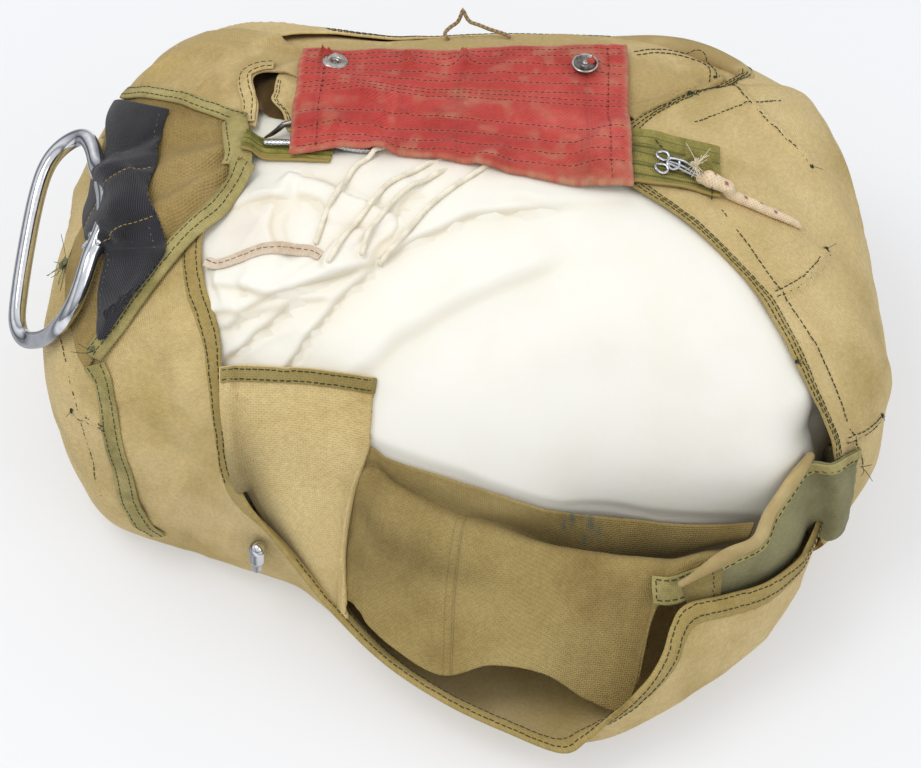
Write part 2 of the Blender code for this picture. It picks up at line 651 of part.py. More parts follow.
# Left side flap and its three bindings.
rows = np.array(LEFT_FLAP, float)
rows = spline(np.arange(len(rows)), rows, np.linspace(0, len(rows) - 1, 10))
v = np.linspace(0, 1, 11)
angle = rows[:, 0:1] + (rows[:, 2:3] - rows[:, 0:1]) * v
share = rows[:, 1:2] + (rows[:, 3:4] - rows[:, 1:2]) * v
puff = rows[:, 4:5] * MM * np.sin(v * math.pi)
start, up = form(angle, share), formUp(angle, share)
lift = layOver(start, up, -0.0005, 0.0008, wall, canopy, backFlap) + puff
leftFlap = shell("left_flap", start + up * (lift + FLAP_CLOTH)[..., None],
                 start + up * lift[..., None], TAN)
TOP_BINDING = ((157.0, .560), (158.1, .607), (159.5, .680), (161.5, .750), (164.2, .800))
END_BINDING = ((165.6, .792), (169.0, .797), (174.0, .803), (181.0, .806))
LOW_BINDING = ((180.5, .818), (188.7, .807), (193.4, .785), (199.6, .721), (203.1, .648),
               (204.5, .575))
topBinding = tapeOver("left_flap_top_binding", TOP_BINDING, 16, .007, .0016, .0010, OLIVE,
                      (wall, canopy, backFlap, leftFlap))
endBinding = tapeOver("left_flap_end_binding", END_BINDING, 9, .012, .0016, .0012, OLIVE,
                      (wall, canopy, backFlap, leftFlap, topBinding), parts=8)
lowBinding = tapeOver("left_flap_roll", LOW_BINDING, 22, .007, .0024, .0010, OLIVE,
                      (wall, canopy, backFlap, leftFlap, endBinding), across=5, puff=.0016)

# Handle: a closed chrome rod, its inner side inside the elastic pocket.
ROD = 0.0043
HANDLE_INSIDE = ((173.5, .585), (177.6, .604), (182.0, .622), (185.6, .630), (188.5, .622))
HANDLE_OUTSIDE = ((-180, -5, 141), (-187, -11, 130), (-196, -18, 119), (-206, -22, 111),
                  (-214, -21, 108), (-219, -14, 107), (-219, 2, 110), (-216, 30, 119),
                  (-212, 57, 129), (-206, 70, 137), (-197, 76, 144), (-187, 75, 151))
below = (wall, canopy, leftFlap, topBinding, lowBinding)
inner = pathOver(HANDLE_INSIDE, 7, ROD + .0006, *below)
loop = np.concatenate([inner, np.array(HANDLE_OUTSIDE, float) * MM])
n = len(loop)
path = spline(np.arange(n), loop, np.linspace(0, n, 56, endpoint=False), n)
out = path - (0, 0.030, 0.060)
out /= np.linalg.norm(out, axis=1, keepdims=True)
lift = layOver(path[:, None], out[:, None], 0.0, ROD + .0008, *below)[:, 0]
lift = np.maximum(lift, (np.roll(lift, 1) + np.roll(lift, -1)) / 2)
path = path + out * lift[:, None]
handle = ring("ripcord_handle", path, ROD, STEEL)

# Elastic pocket over the inner side of the handle: left and right edge of each row.
ELASTIC = (
    # left         right      rise over the rod
    (162.4, .592, 165.7, .703, 0),
    (169.0, .598, 171.0, .706, 0),
    (174.2, .606, 175.5, .707, 10),
    (178.5, .609, 181.0, .712, 13),
    (185.0, .634, 190.0, .735, 13),
    (192.0, .646, 197.0, .722, 8),
    (199.0, .626, 201.3, .680, 1),
    (204.0, .600, 204.4, .618, 0),
)
rows = np.array(ELASTIC, float)
rows = spline(np.arange(len(rows)), rows, np.linspace(0, len(rows) - 1, 19))
v = np.linspace(0, 1, 9)
angle = rows[:, 0:1] + (rows[:, 2:3] - rows[:, 0:1]) * v
share = rows[:, 1:2] + (rows[:, 3:4] - rows[:, 1:2]) * v
start, up = form(angle, share), formUp(angle, share)
wanted = .0034 + np.maximum(rows[:, 4:5], 0) * MM * (1 - smooth(.25, 1.0, v))
lift = layOver(start, up, wanted, 0.0020, wall, leftFlap, topBinding, lowBinding, handle, parts=6)
elastic = shell("elastic_pocket", start + up * (lift + .0016)[..., None],
                start + up * lift[..., None], BLACK)

def overPlan(points, count, gap, *below, stiff=False, ease=0):
    """A line drawn on the plan, lowered onto what is below it; a stiff one stays in one plane."""
    points = np.asarray(points, float) * MM
    flat = spline(np.arange(len(points)), points, np.linspace(0, len(points) - 1, count))
    start = np.concatenate([flat, np.full((count, 1), 0.18)], 1)[:, None]
    up = np.broadcast_to(np.array((0, 0, 1.0)), start.shape)
    lift = layOver(start, up, -0.03, gap, *below)[:, 0]
    if stiff:
        plane = np.polyval(np.polyfit(flat[:, 0], lift, 1), flat[:, 0])
        lift = plane + (lift - plane).max()
    for _ in range(ease):
        lift[1:-1] = np.maximum(lift[1:-1], (lift[:-2] + lift[2:]) / 2)
    return (start + up * lift[:, None, None])[:, 0]


# Webbing on the right side with the wire eye, the hook and the opening cord.
rightWebbing = tapeOver("right_webbing", ((3.0, .910), (2.1, .869), (1.0, .825), (0.4, .774)), 10,
                        .033, .0018, .0018, OLIVE, (wall, canopy), across=6)
EYE = ((88, 34), (92, 34.6), (95.5, 35), (98.4, 33), (98.6, 30), (100.5, 29.3), (103.2, 28.2),
       (103.4, 24.6), (100.5, 22.8), (98.0, 22.6), (97.0, 20.2), (94, 19.8), (91.4, 22), (88, 26))
HOOK = ((101.5, 25.6), (104.5, 24.8), (107.5, 23.6), (110.0, 22.4))
OPENING_CORD = ((111.5, 20.0), (114, 19.2), (120, 17.6), (126, 16.4), (133.5, 14.4), (143, 11.8),
                (153, 10.0), (161.5, 9.0))
eye = tube("wire_eye", overPlan(EYE, 30, .0012, rightWebbing, wall, stiff=True), .0008, STEEL, 8)
hook = tube("cord_hook", overPlan(HOOK, 12, .0018, rightWebbing, wall, eye, stiff=True), .0012, STEEL, 8)
cordPath = overPlan(OPENING_CORD, 22, .0051, wall, rightWebbing, hook, ease=3)
cord = tube("opening_cord", cordPath, np.interp(np.linspace(0, 1, 22), (0, .08, .2, .32, .85, 1),
                                                (.0036, .0046, .0044, .0031, .0024, .0007)), CREAM, 10)

# Webbing end, pin and cable at the left end of the red flap.
leftWebbing = tapeOver("left_webbing", ((172.5, .812), (172.5, .835), (173, .86), (173.5, .90)), 10,
                       .0135, .0018, .0008, OLIVE, (wall, canopy, backFlap, leftFlap, endBinding),
                       across=4)
pinPath = pathOver(((167.4, .827), (166.4, .840), (164.0, .860), (161.0, .888)), 14, .0019,
                   wall, canopy, backFlap, leftFlap, endBinding, leftWebbing)
pin = tube("ripcord_pin", pinPath, np.interp(np.linspace(0, 1, 14), (0, .25, 1),
                                             (.0006, .0013, .0013)), DARK_STEEL, 8)
cablePath = pathOver(((171.5, .832), (171.2, .850), (171.0, .870), (171.0, .900)), 10, .0022,
                     wall, canopy, backFlap, leftFlap, endBinding, leftWebbing, pin)
cable = tube("ripcord_cable", cablePath, .0016, STEEL, 8)

# Suspension lines that lie on the canopy and go under the red flap.
LINES = (
    ((-69, -17), (-65, -5), (-59, 8), (-52, 26), (-45, 33), (-38, 40)),
    ((-62, -28), (-56, -17), (-50, -8), (-43, 2), (-36, 13), (-24, 22), (-12, 31), (-4, 38)),
    ((-47, -25), (-44, -14), (-37, -4), (-29, 7), (-16, 18), (-4, 28), (3, 36)),
    ((-39, -27), (-27, -14), (-17, 0), (-4, 13), (9, 24), (16, 34)),
)


lines = []
for k, points in enumerate(LINES):
    path = overPlan(points, 24, .0021, canopy, leftWebbing, cable, *lines)
    lines.append(tube(f"suspension_line_{k + 1}", path, .0015, CREAM, 8))

# Edge tape of the canopy, on its left folds.
TAPE_EDGE = ((203.5, .771), (205.8, .784), (208.5, .827), (214.3, .843), (219.0, .836))
edgeTape = tapeOver("canopy_edge_tape", TAPE_EDGE, 14, .005, .0012, .0007, CREAM,
                    (canopy, wall, *lines))

# Twine loop behind the red flap.
path = spline(np.arange(7), np.array((
    (-8, 124, 168), (-9, 129, 168), (-3, 134, 169), (5, 133, 170), (13, 129, 170), (20, 126, 170),
    (23, 124, 170)), float), np.linspace(0, 6, 26)) * MM
lift = layOver(path[:, None], np.broadcast_to(np.array((0, .5, .866)), (26, 1, 3)), 0.0, .0014,
               wall, backFlap, canopy)[:, 0]
path += np.array((0, .5, .866)) * lift[:, None]
twine = tube("twine_loop", path, .0009, KHAKI, 8)

# Red flap over the pin ends.
grid = []
rows = [(far, near, sag) for far, near, sag in RED_FLAP]
far = spline(np.arange(5), np.array([r[0] for r in rows], float), np.linspace(0, 4, 17)) * MM
near = spline(np.arange(5), np.array([r[1] for r in rows], float), np.linspace(0, 4, 17)) * MM
sag = spline(np.arange(5), np.array([r[2] for r in rows], float), np.linspace(0, 4, 17)) * MM
v = np.linspace(0, 1, 10)
middle = far[:, None] + (near - far)[:, None] * v[None, :, None]
up = np.broadcast_to(np.array((0, 0, 1.0)), middle.shape)
wanted = 0.004 * np.sin(v * math.pi)[None] - sag[:, None] * 0.5 * np.sin(v * math.pi)[None]
lift = layOver(middle, up, wanted, 0.0010, wall, canopy, backFlap, leftFlap, endBinding,
               leftWebbing, rightWebbing, pin, cable, eye, hook, twine, *lines, parts=8)
for _ in range(4):
    wide = np.pad(lift, 1, mode="edge")
    lift = np.maximum(lift, (wide[:-2, 1:-1] + wide[2:, 1:-1] + wide[1:-1, :-2] + wide[1:-1, 2:]) / 4)
redFlap = shell("red_flap", middle + up * (lift + RED_FLAP_THICK)[..., None],
                middle + up * lift[..., None], RED)


def studOn(name, x, y, radius, height, look, hollow):
    """A press stud on the red flap: a low turned button, dished where it is a socket."""
    tree = surfaceOf(redFlap)
    at = np.array([(x + dx, y + dy, topOf(tree, x + dx, y + dy)) for dx, dy in
                   ((0, 0), (radius, 0), (-radius, 0), (0, radius), (0, -radius))])
    right, back = at[1] - at[2], at[3] - at[4]
    up = np.cross(right, back)
    up /= np.linalg.norm(up)
    right = right / np.linalg.norm(right)
    back = np.cross(up, right)
    spots = [(x + radius * k * math.cos(t), y + radius * k * math.sin(t))
             for k in (.5, 1.0, 1.1) for t in np.linspace(0, 2 * math.pi, 24)]
    rise = max((np.array((*spot, topOf(tree, *spot))) - at[0]) @ up for spot in spots) + 0.0007
    profile = ((0.05, 0), (1.0, 0), (1.0, .35), (.86, 1.0), (.45, 1.0), (.36, hollow), (.05, hollow))
    turn = np.linspace(0, 2 * math.pi, 20, endpoint=False)
    points = [at[0] + up * (rise + height * h) + radius * k * (right * math.cos(t)
              + back * math.sin(t)) for t in turn for k, h in profile]
    m = len(profile)
    faces = [(i * m + j, (i + 1) % 20 * m + j, (i + 1) % 20 * m + j + 1, i * m + j + 1)
             for i in range(20) for j in range(m - 1)]
    faces += [tuple(i * m for i in range(19, -1, -1)), tuple(i * m + m - 1 for i in range(20))]
    return addMesh(name, points, faces, look)


studOn("press_stud_socket", -.0630, .0925, .0068, .0022, STEEL, .45)
studOn("press_stud_post", .0595, .0905, .0066, .0022, DARK_STEEL, 1.25)

# Locking cone under the hem of the front flap.
path = np.array(((-98.6, -103, 55), (-99.0, -103, 49.5), (-99.3, -103, 46), (-99.5, -103, 44),
                 (-99.9, -103, 39), (-100.2, -103, 35.5)), float) * MM
out = np.broadcast_to(np.array((-.36, -.93, 0)), path.shape)
lift = layOver(path[:, None], out[:, None], -0.004, .0049, wall)[:, 0]
cone = tube("locking_cone", path + out * lift.max(),
            (.0028, .0028, .0046, .0046, .0028, .0010), STEEL, 12)

# Seam tape down the left front corner.
seamTape = tapeOver("left_seam_tape", ((205.5, .560), (208.2, .541), (211.1, .478), (213.1, .405),
                                       (213.9, .319), (215.6, .225)), 24, .009, .0014, .0012,
                    OLIVE, (wall, lowBinding, elastic))
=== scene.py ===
import math

import bpy
import numpy as np
from mathutils import Matrix, Vector


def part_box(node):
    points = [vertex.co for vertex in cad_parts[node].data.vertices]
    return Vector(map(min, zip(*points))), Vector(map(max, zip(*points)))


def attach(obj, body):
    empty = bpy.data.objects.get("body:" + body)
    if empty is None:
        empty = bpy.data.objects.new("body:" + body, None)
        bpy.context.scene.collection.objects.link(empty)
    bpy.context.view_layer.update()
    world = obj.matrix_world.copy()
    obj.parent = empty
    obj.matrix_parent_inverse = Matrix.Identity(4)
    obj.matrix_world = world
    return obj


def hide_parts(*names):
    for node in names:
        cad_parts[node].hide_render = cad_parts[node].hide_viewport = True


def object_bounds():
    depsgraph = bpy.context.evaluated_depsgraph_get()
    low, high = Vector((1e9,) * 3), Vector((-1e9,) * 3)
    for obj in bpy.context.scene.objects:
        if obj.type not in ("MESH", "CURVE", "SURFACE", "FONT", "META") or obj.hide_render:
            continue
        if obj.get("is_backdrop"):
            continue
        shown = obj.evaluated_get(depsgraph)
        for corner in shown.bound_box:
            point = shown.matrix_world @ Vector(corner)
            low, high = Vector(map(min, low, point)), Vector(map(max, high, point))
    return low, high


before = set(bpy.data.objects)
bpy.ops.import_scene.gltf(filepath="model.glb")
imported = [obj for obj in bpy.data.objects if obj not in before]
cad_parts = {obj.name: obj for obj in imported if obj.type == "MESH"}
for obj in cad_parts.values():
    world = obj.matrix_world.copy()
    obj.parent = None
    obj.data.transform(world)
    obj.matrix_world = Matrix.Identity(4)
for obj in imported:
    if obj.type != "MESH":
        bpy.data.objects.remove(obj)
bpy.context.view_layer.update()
print("frame loaded:", len(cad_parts), "nodes")

mm = 0.001
scene = bpy.context.scene
chance = np.random.default_rng(11)

# ---- camera, floor and lights

studio = {
    "target": (-0.0015, -0.022, 0.075),
    "elevation": 54.0,      # degrees above the table
    "distance": 1.4,
    "lens": 110.0, "sensor": 36.0,    # mm
    # height of the direction, colour
    "sky": ((0.0, "#8E9095"), (0.22, "#C9CBCE"), (0.5, "#F6F7F9")),
    "skyStrength": 0.96,
    "floorColour": "#C3C4C6", "floorGlow": 0.375, "floorHalf": 3.0,
    # place, watts, size, colour
    "key": ((-0.55, -0.20, 1.40), 5.4, 0.60, "#FFFDF8"),
    "fill": ((0.95, -0.75, 1.0), 2.2, 0.9, "#FFFFFF"),
    "lightsAim": (0.0, 0.0, 0.08),
}


# sRGB hex to linear: each channel c is c/12.92 below 0.04045, else ((c+0.055)/1.055)^2.4.
def linear(code):
    channels = [int(code[k:k + 2], 16) / 255 for k in (1, 3, 5)]
    return tuple(c / 12.92 if c <= 0.04045 else ((c + 0.055) / 1.055) ** 2.4
                 for c in channels) + (1.0,)


# Adds one node: settings go to its inputs or properties, links join its inputs to (node, output).
def addNode(tree, kind, settings=None, links=None):
    node = tree.nodes.new("ShaderNode" + kind)
    for name, value in (settings or {}).items():
        if name == "stops":
            while len(node.color_ramp.elements) < len(value):
                node.color_ramp.elements.new(0.5)
            for element, (at, colour) in zip(node.color_ramp.elements, value):
                element.position, element.color = at, colour
        elif isinstance(name, int) or name in node.inputs:
            node.inputs[name].default_value = value
        else:
            setattr(node, name, value)
    for name, (source, output) in (links or {}).items():
        tree.links.new(source.outputs[output], node.inputs[name])
    return node


# Noise over the object or the cloth, its grain in mm.
def noise(tree, place, grain, detail, more=None):
    return addNode(tree, "TexNoise", {"Scale": 1 / (grain * mm), "Detail": detail, **(more or {})},
                   {"Vector": place})


waveStep = 0.314    # a wave texture of scale 1 repeats every 0.314 m


# Sine wave across the cloth in one direction, repeating every so many mm.
def threadWave(tree, cloth, direction, step, more=None):
    return addNode(tree, "TexWave", {"bands_direction": direction, "Scale": waveStep / (step * mm),
                                     **(more or {})}, {"Vector": (cloth, 0)})


# Colour ramp of a value: each stop is a place and a hex code, three linear numbers or a grey.
def ramp(tree, value, *stops):
    toned = [(at, linear(tone) if isinstance(tone, str)
              else (*np.broadcast_to(tone, 3).tolist(), 1)) for at, tone in stops]
    return addNode(tree, "ValToRGB", {"stops": toned}, {0: value})


# Blend of two colours by a share: each of the three is a plain value or (node, output).
def mix(tree, share, first, second, kind="MIX"):
    settings, links = {"data_type": "RGBA", "blend_type": kind}, {}
    for socket, value in ((0, share), (6, first), (7, second)):
        if isinstance(value, tuple):
            links[socket] = value
        else:
            settings[socket] = linear(value) if isinstance(value, str) else value
    return addNode(tree, "Mix", settings, links)


# Blends a colour in where a named point value of the piece is high.
def painted(tree, under, attribute, colour):
    place = addNode(tree, "Attribute", {"attribute_name": attribute})
    return mix(tree, (place, 2), (under, 2), colour)


# Ends a material: its last colour, and its relief as (height node, strength, depth in mm) upwards.
def finished(tree, shader, colour, *reliefs):
    tree.links.new(colour, shader.inputs["Base Color"])
    below = {}
    for height, strength, depth in reliefs:
        bump = addNode(tree, "Bump", {"Strength": strength, "Distance": depth * mm},
                       {"Height": height, **below})
        below = {"Normal": (bump, 0)}
    if below:
        tree.links.new(bump.outputs[0], shader.inputs["Normal"])


# A new material, its tree and its Principled shader, whose plain sockets come from a dictionary.
def newMaterial(name, sockets):
    made = bpy.data.materials.new(name)
    made.use_nodes = True
    shader = made.node_tree.nodes["Principled BSDF"]
    for key, value in sockets.items():
        shader.inputs[key].default_value = value
    return made, made.node_tree, shader


elevation = math.radians(studio["elevation"])
viewBack = np.array((0.0, -math.cos(elevation), math.sin(elevation)))
viewUp = np.array((0.0, math.sin(elevation), math.cos(elevation)))
cameraPlace = np.array(studio["target"]) + viewBack * studio["distance"]
camera = bpy.data.objects.new("camera", bpy.data.cameras.new("camera"))
camera.data.lens, camera.data.sensor_width = studio["lens"], studio["sensor"]
camera.data.clip_start = 0.05
camera.matrix_world = Matrix(((1, viewUp[0], viewBack[0], cameraPlace[0]),
                              (0, viewUp[1], viewBack[1], cameraPlace[1]),
                              (0, viewUp[2], viewBack[2], cameraPlace[2]), (0, 0, 0, 1)))
scene.collection.objects.link(camera)
scene.camera = camera
scene.view_settings.view_transform = "Standard"

world = bpy.data.worlds.new("studio")
world.use_nodes = True
# The studio is white overhead and greyer towards the sides, which gives metal its dark edges.
rays = addNode(world.node_tree, "TexCoord")
height = addNode(world.node_tree, "SeparateXYZ", {}, {0: (rays, 0)})
sky = ramp(world.node_tree, (height, 2), *studio["sky"])
background = world.node_tree.nodes["Background"]
world.node_tree.links.new(sky.outputs[0], background.inputs["Color"])
background.inputs["Strength"].default_value = studio["skyStrength"]
scene.world = world


# A soft square light at a place, aimed at the pack.
def softLight(name, place, power, size, colour):
    light = bpy.data.lights.new(name, "AREA")
    light.energy, light.size, light.color = power, size, linear(colour)[:3]
    holder = bpy.data.objects.new(name, light)
    holder.location = place
    aim = Vector(studio["lightsAim"]) - Vector(place)
    holder.rotation_euler = aim.to_track_quat("-Z", "Y").to_euler()
    scene.collection.objects.link(holder)


softLight("key_light", *studio["key"])
softLight("fill_light", *studio["fill"])

# A lit table top: matt white film over lamps, so that shadows stay faint.
floorMaterial, _, _ = newMaterial("table_paper", {"Base Color": linear(studio["floorColour"]),
                                                  "Roughness": 0.6, "Specular IOR Level": 0.1,
                                                  "Emission Color": linear("#F6F7FA"),
                                                  "Emission Strength": studio["floorGlow"]})
floorMesh = bpy.data.meshes.new("floor")
half = studio["floorHalf"]
floorMesh.from_pydata([(-half, -half, 0), (half, -half, 0), (half, half, 0), (-half, half, 0)], [],
                      [(0, 1, 2, 3)])
floorMesh.materials.append(floorMaterial)
floor = bpy.data.objects.new("floor", floorMesh)
scene.collection.objects.link(floor)
floor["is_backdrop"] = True
print("camera, floor and lights set")

# ---- the filled pack form that every cloth is laid over

packForm = {
    "centre": (0.0, 0.030),   # plan centre, metres
    "crown": 0.182,
    "groundLift": 0.002,
    "belly": 0.36,            # height share of the belly
    # angle (degrees, 0 right, 90 back), foot radius, belly radius, belly height (mm), squareness
    "rows": np.array((
        (-60, 128, 150.0, 70, 2.3), (-48, 150, 180.0, 70, 2.4), (-38, 178, 212.0, 68, 2.5),
        (-29, 186, 221.5, 68, 2.6), (-20, 186, 219.0, 74, 2.6), (-10, 179, 209.5, 80, 2.6),
        (4, 172, 200.5, 88, 2.5), (15, 172, 202.0, 96, 2.5), (27, 168, 197.5, 100, 2.5),
        (37, 156, 181.0, 104, 2.5), (50, 132, 155.0, 108, 2.5), (70, 110, 131.0, 108, 2.5),
        (90, 102, 123.0, 108, 2.5), (112, 110, 132.0, 108, 2.5), (128, 140, 165.0, 106, 2.5),
        (136, 158, 184.5, 104, 2.5), (150, 168, 195.5, 104, 2.5), (165, 172, 201.0, 98, 2.5),
        (179, 172, 199.0, 90, 2.5), (190, 182, 210.0, 76, 2.6), (200, 187, 212.5, 66, 2.6),
        (209, 184, 207.0, 62, 2.6), (218, 164, 184.0, 60, 2.5), (228, 146, 167.0, 62, 2.4),
        (245, 126, 149.0, 66, 2.3), (270, 114, 140.0, 70, 2.3), (285, 118, 142.0, 70, 2.3))),
}


# Cubic curve through the values: each piece is a Hermite blend whose end slopes are mean slopes.
def spline(keys, values, at, period=None):
    keys, values, at = np.asarray(keys, float), np.asarray(values, float), np.asarray(at, float)
    if period:
        keys = np.concatenate([keys - period, keys, keys + period])
        values = np.concatenate([values, values, values])
    slope = np.gradient(values, keys, axis=0)
    i = np.clip(np.searchsorted(keys, at, side="right") - 1, 0, len(keys) - 2)
    h = keys[i + 1] - keys[i]
    t = (at - keys[i]) / h
    extra = (1,) * (values.ndim - 1)
    h, t = h.reshape(h.shape + extra), t.reshape(t.shape + extra)
    return ((2 * t**3 - 3 * t**2 + 1) * values[i] + (t**3 - 2 * t**2 + t) * h * slope[i]
            + (3 * t**2 - 2 * t**3) * values[i + 1] + (t**3 - t**2) * h * slope[i + 1])


# Rows of numbers with a cubic curve through them, at a count of even steps.
def smoothRows(rows, count):
    rows = np.asarray(rows, float)
    return spline(np.arange(len(rows)), rows, np.linspace(0, len(rows) - 1, count))


# Vectors over their own length.
def unit(vectors):
    return vectors / np.maximum(np.linalg.norm(vectors, axis=-1, keepdims=True), 1e-12)


# Running length along a line of points, from 0.
def runLength(points):
    return np.concatenate([[0], np.cumsum(np.linalg.norm(np.diff(points, axis=0), axis=1))])


# The same angle counted from -60 to 300 degrees, where the form's table begins and ends.
def fromRight(angle):
    return np.mod(np.asarray(angle, float) + 60, 360) - 60


# A smooth rise from 0 at a to 1 at b: 3t^2 - 2t^3.
def smooth(a, b, x):
    t = np.clip((np.asarray(x, float) - a) / (b - a), 0, 1)
    return t * t * (3 - 2 * t)


formAngles = np.linspace(-60, 300, 1441)
formFine = spline(packForm["rows"][:, 0], packForm["rows"][:, 1:], formAngles, 360)


# Foot radius, belly radius, belly height and squareness at each angle, from the fine table.
def formSizes(angle):
    angle = fromRight(angle)
    return [np.interp(angle, formAngles, formFine[:, k]) * (mm if k < 3 else 1) for k in range(4)]


# Form points: a quarter wave from the foot to the belly, above it a superellipse to the crown.
def formPlain(angle, share):
    foot, belly, height, square = formSizes(angle)
    low = np.clip(share / packForm["belly"], 0, 1) * math.pi / 2
    high = np.clip((share - packForm["belly"]) / (1 - packForm["belly"]), 0, 1) * math.pi / 2
    power = 2 / square
    under = share < packForm["belly"]
    r = np.where(under, foot + (belly - foot) * np.sin(low),
                 belly * np.clip(np.cos(high), 0, 1) ** power)
    z = np.where(under, height * (1 - np.cos(low)),
                 height + (packForm["crown"] - height) * np.clip(np.sin(high), 0, 1) ** power)
    a = np.radians(angle)
    return np.stack([packForm["centre"][0] + r * np.cos(a), packForm["centre"][1] + r * np.sin(a),
                     z + packForm["groundLift"]], -1)


# Unit normal of the form: cross product of its slopes along the angle and the height share.
def formUp(angle, share):
    angle, share = np.broadcast_arrays(np.asarray(angle, float), np.asarray(share, float))
    inside = np.clip(share, 0.003, 0.993)
    return unit(np.cross(formPlain(angle + 0.3, inside) - formPlain(angle - 0.3, inside),
                         formPlain(angle, inside + 0.002) - formPlain(angle, inside - 0.002)))


# Form point moved out along the normal by a lift in metres.
def onForm(angle, share, lift):
    angle, share, lift = np.broadcast_arrays(np.asarray(angle, float), np.asarray(share, float),
                                             np.asarray(lift, float))
    return formPlain(angle, share) + formUp(angle, share) * lift[..., None]


# Angle of points about the pack's centre, in degrees, and their distance from it in plan.
def planPolar(x, y):
    x, y = x - packForm["centre"][0], y - packForm["centre"][1]
    return np.degrees(np.arctan2(y, x)), np.hypot(x, y)


# Angle and height share of the form point nearest in direction to each point, and its lift.
def formPlace(points):
    angle, r = planPolar(points[..., 0], points[..., 1])
    _, belly, height, square = formSizes(angle)
    z = points[..., 2] - packForm["groundLift"]
    up = np.maximum(z - height, 0) / (packForm["crown"] - height)
    out = np.maximum(r / belly, 1e-6)
    high = np.arctan2(up ** (square / 2), out ** (square / 2))
    low = np.arccos(np.clip(1 - z / height, -1, 1))
    share = np.where(z < height, low / (math.pi / 2) * packForm["belly"],
                     packForm["belly"] + high / (math.pi / 2) * (1 - packForm["belly"]))
    lift = ((points - formPlain(angle, share)) * formUp(angle, share)).sum(-1)
    return angle, share, lift


# Polar point about the pack centre: radius and height in millimetres.
def polar(angle, radius, height):
    a = np.radians(angle)
    return np.stack([packForm["centre"][0] + radius * mm * np.cos(a),
                     packForm["centre"][1] + radius * mm * np.sin(a),
                     np.broadcast_to(np.asarray(height) * mm, np.shape(a)) + 0 * a], -1)


# Smooth noise: random values on a lattice, blended inside each cell with 3t^2 - 2t^3, about -1..1.
def drift(u, v, seed):
    side = 64    # cells before the lattice repeats
    table = np.random.default_rng(seed).uniform(-1, 1, (side, side, 8))[..., 0]
    u, v = np.broadcast_arrays(u, v)
    i, j = np.floor(u).astype(int), np.floor(v).astype(int)
    fu, fv = smooth(0, 1, u - i), smooth(0, 1, v - j)
    total = 0.0
    for a in (0, 1):
        for b in (0, 1):
            weight = (fu if a else 1 - fu) * (fv if b else 1 - fv)
            total = total + weight * table[(i + a) % side, (j + b) % side]
    return total


# Distance (m) from each point to a line of points, the share of the line's length there,
# and on which side of it the point lies, seen from above.
def toLine(points, line):
    flat = points.reshape(-1, 3)
    steps = np.linalg.norm(np.diff(line, axis=0), axis=1)
    far = np.concatenate([[0], np.cumsum(steps)])
    best, place, side = np.full(len(flat), 1e9), np.zeros(len(flat)), np.zeros(len(flat))
    for a, b, start, length in zip(line[:-1], line[1:], far, steps):
        d = b - a
        away = flat - a
        t = np.clip(away @ d / max(d @ d, 1e-18), 0, 1)
        gap = away - t[:, None] * d
        distance = np.linalg.norm(gap, axis=1)
        nearer = distance < best
        best = np.where(nearer, distance, best)
        place = np.where(nearer, (start + t * length) / far[-1], place)
        side = np.where(nearer, np.sign(np.cross(d, away)[:, 2]), side)
    shape = points.shape[:-1]
    return best.reshape(shape), place.reshape(shape), side.reshape(shape)


# Points at even spacing along a line drawn on the form (rows of angle, share), as angle and share.
def track(rows, count):
    fine = smoothRows(rows, 300)
    far = runLength(formPlain(fine[:, 0], fine[:, 1]))
    step = np.arange(len(fine))
    at = np.interp(np.linspace(0, far[-1], count), far, step)
    return np.stack([np.interp(at, step, fine[:, k]) for k in (0, 1)], 1)


# Height of the listed creases: height x a bell over the half width, fading at both ends.
def creases(points, rows):
    total = np.zeros(points.shape[:-1])
    for line, height, half, *ends in rows:
        start, end = ends or (0.2, 0.2)
        where = track(line, 26)
        distance, place, _ = toLine(points, formPlain(where[:, 0], where[:, 1]))
        fade = smooth(0, start, place) * smooth(0, end, 1 - place) if start > 0 else 1
        total += height * mm * np.exp(-(distance / (half * mm)) ** 2) * fade
    return total


# ---- how meshes are made


# Grid normals: cross product of the slopes along both directions.
def gridUp(grid):
    return unit(np.cross(np.gradient(grid, axis=0), np.gradient(grid, axis=1)))


# Grid normals turned to the side on which the one at a given column and row points up.
def gridAbove(grid, column, row):
    ups = gridUp(grid)
    return ups * np.sign(ups[column, row, 2])


# Running length along a grid's columns or rows, in metres.
def runOf(grid, axis):
    steps = np.linalg.norm(np.diff(grid, axis=axis), axis=-1)
    return np.concatenate([np.zeros_like(np.take(steps, [0], axis)), np.cumsum(steps, axis)], axis)


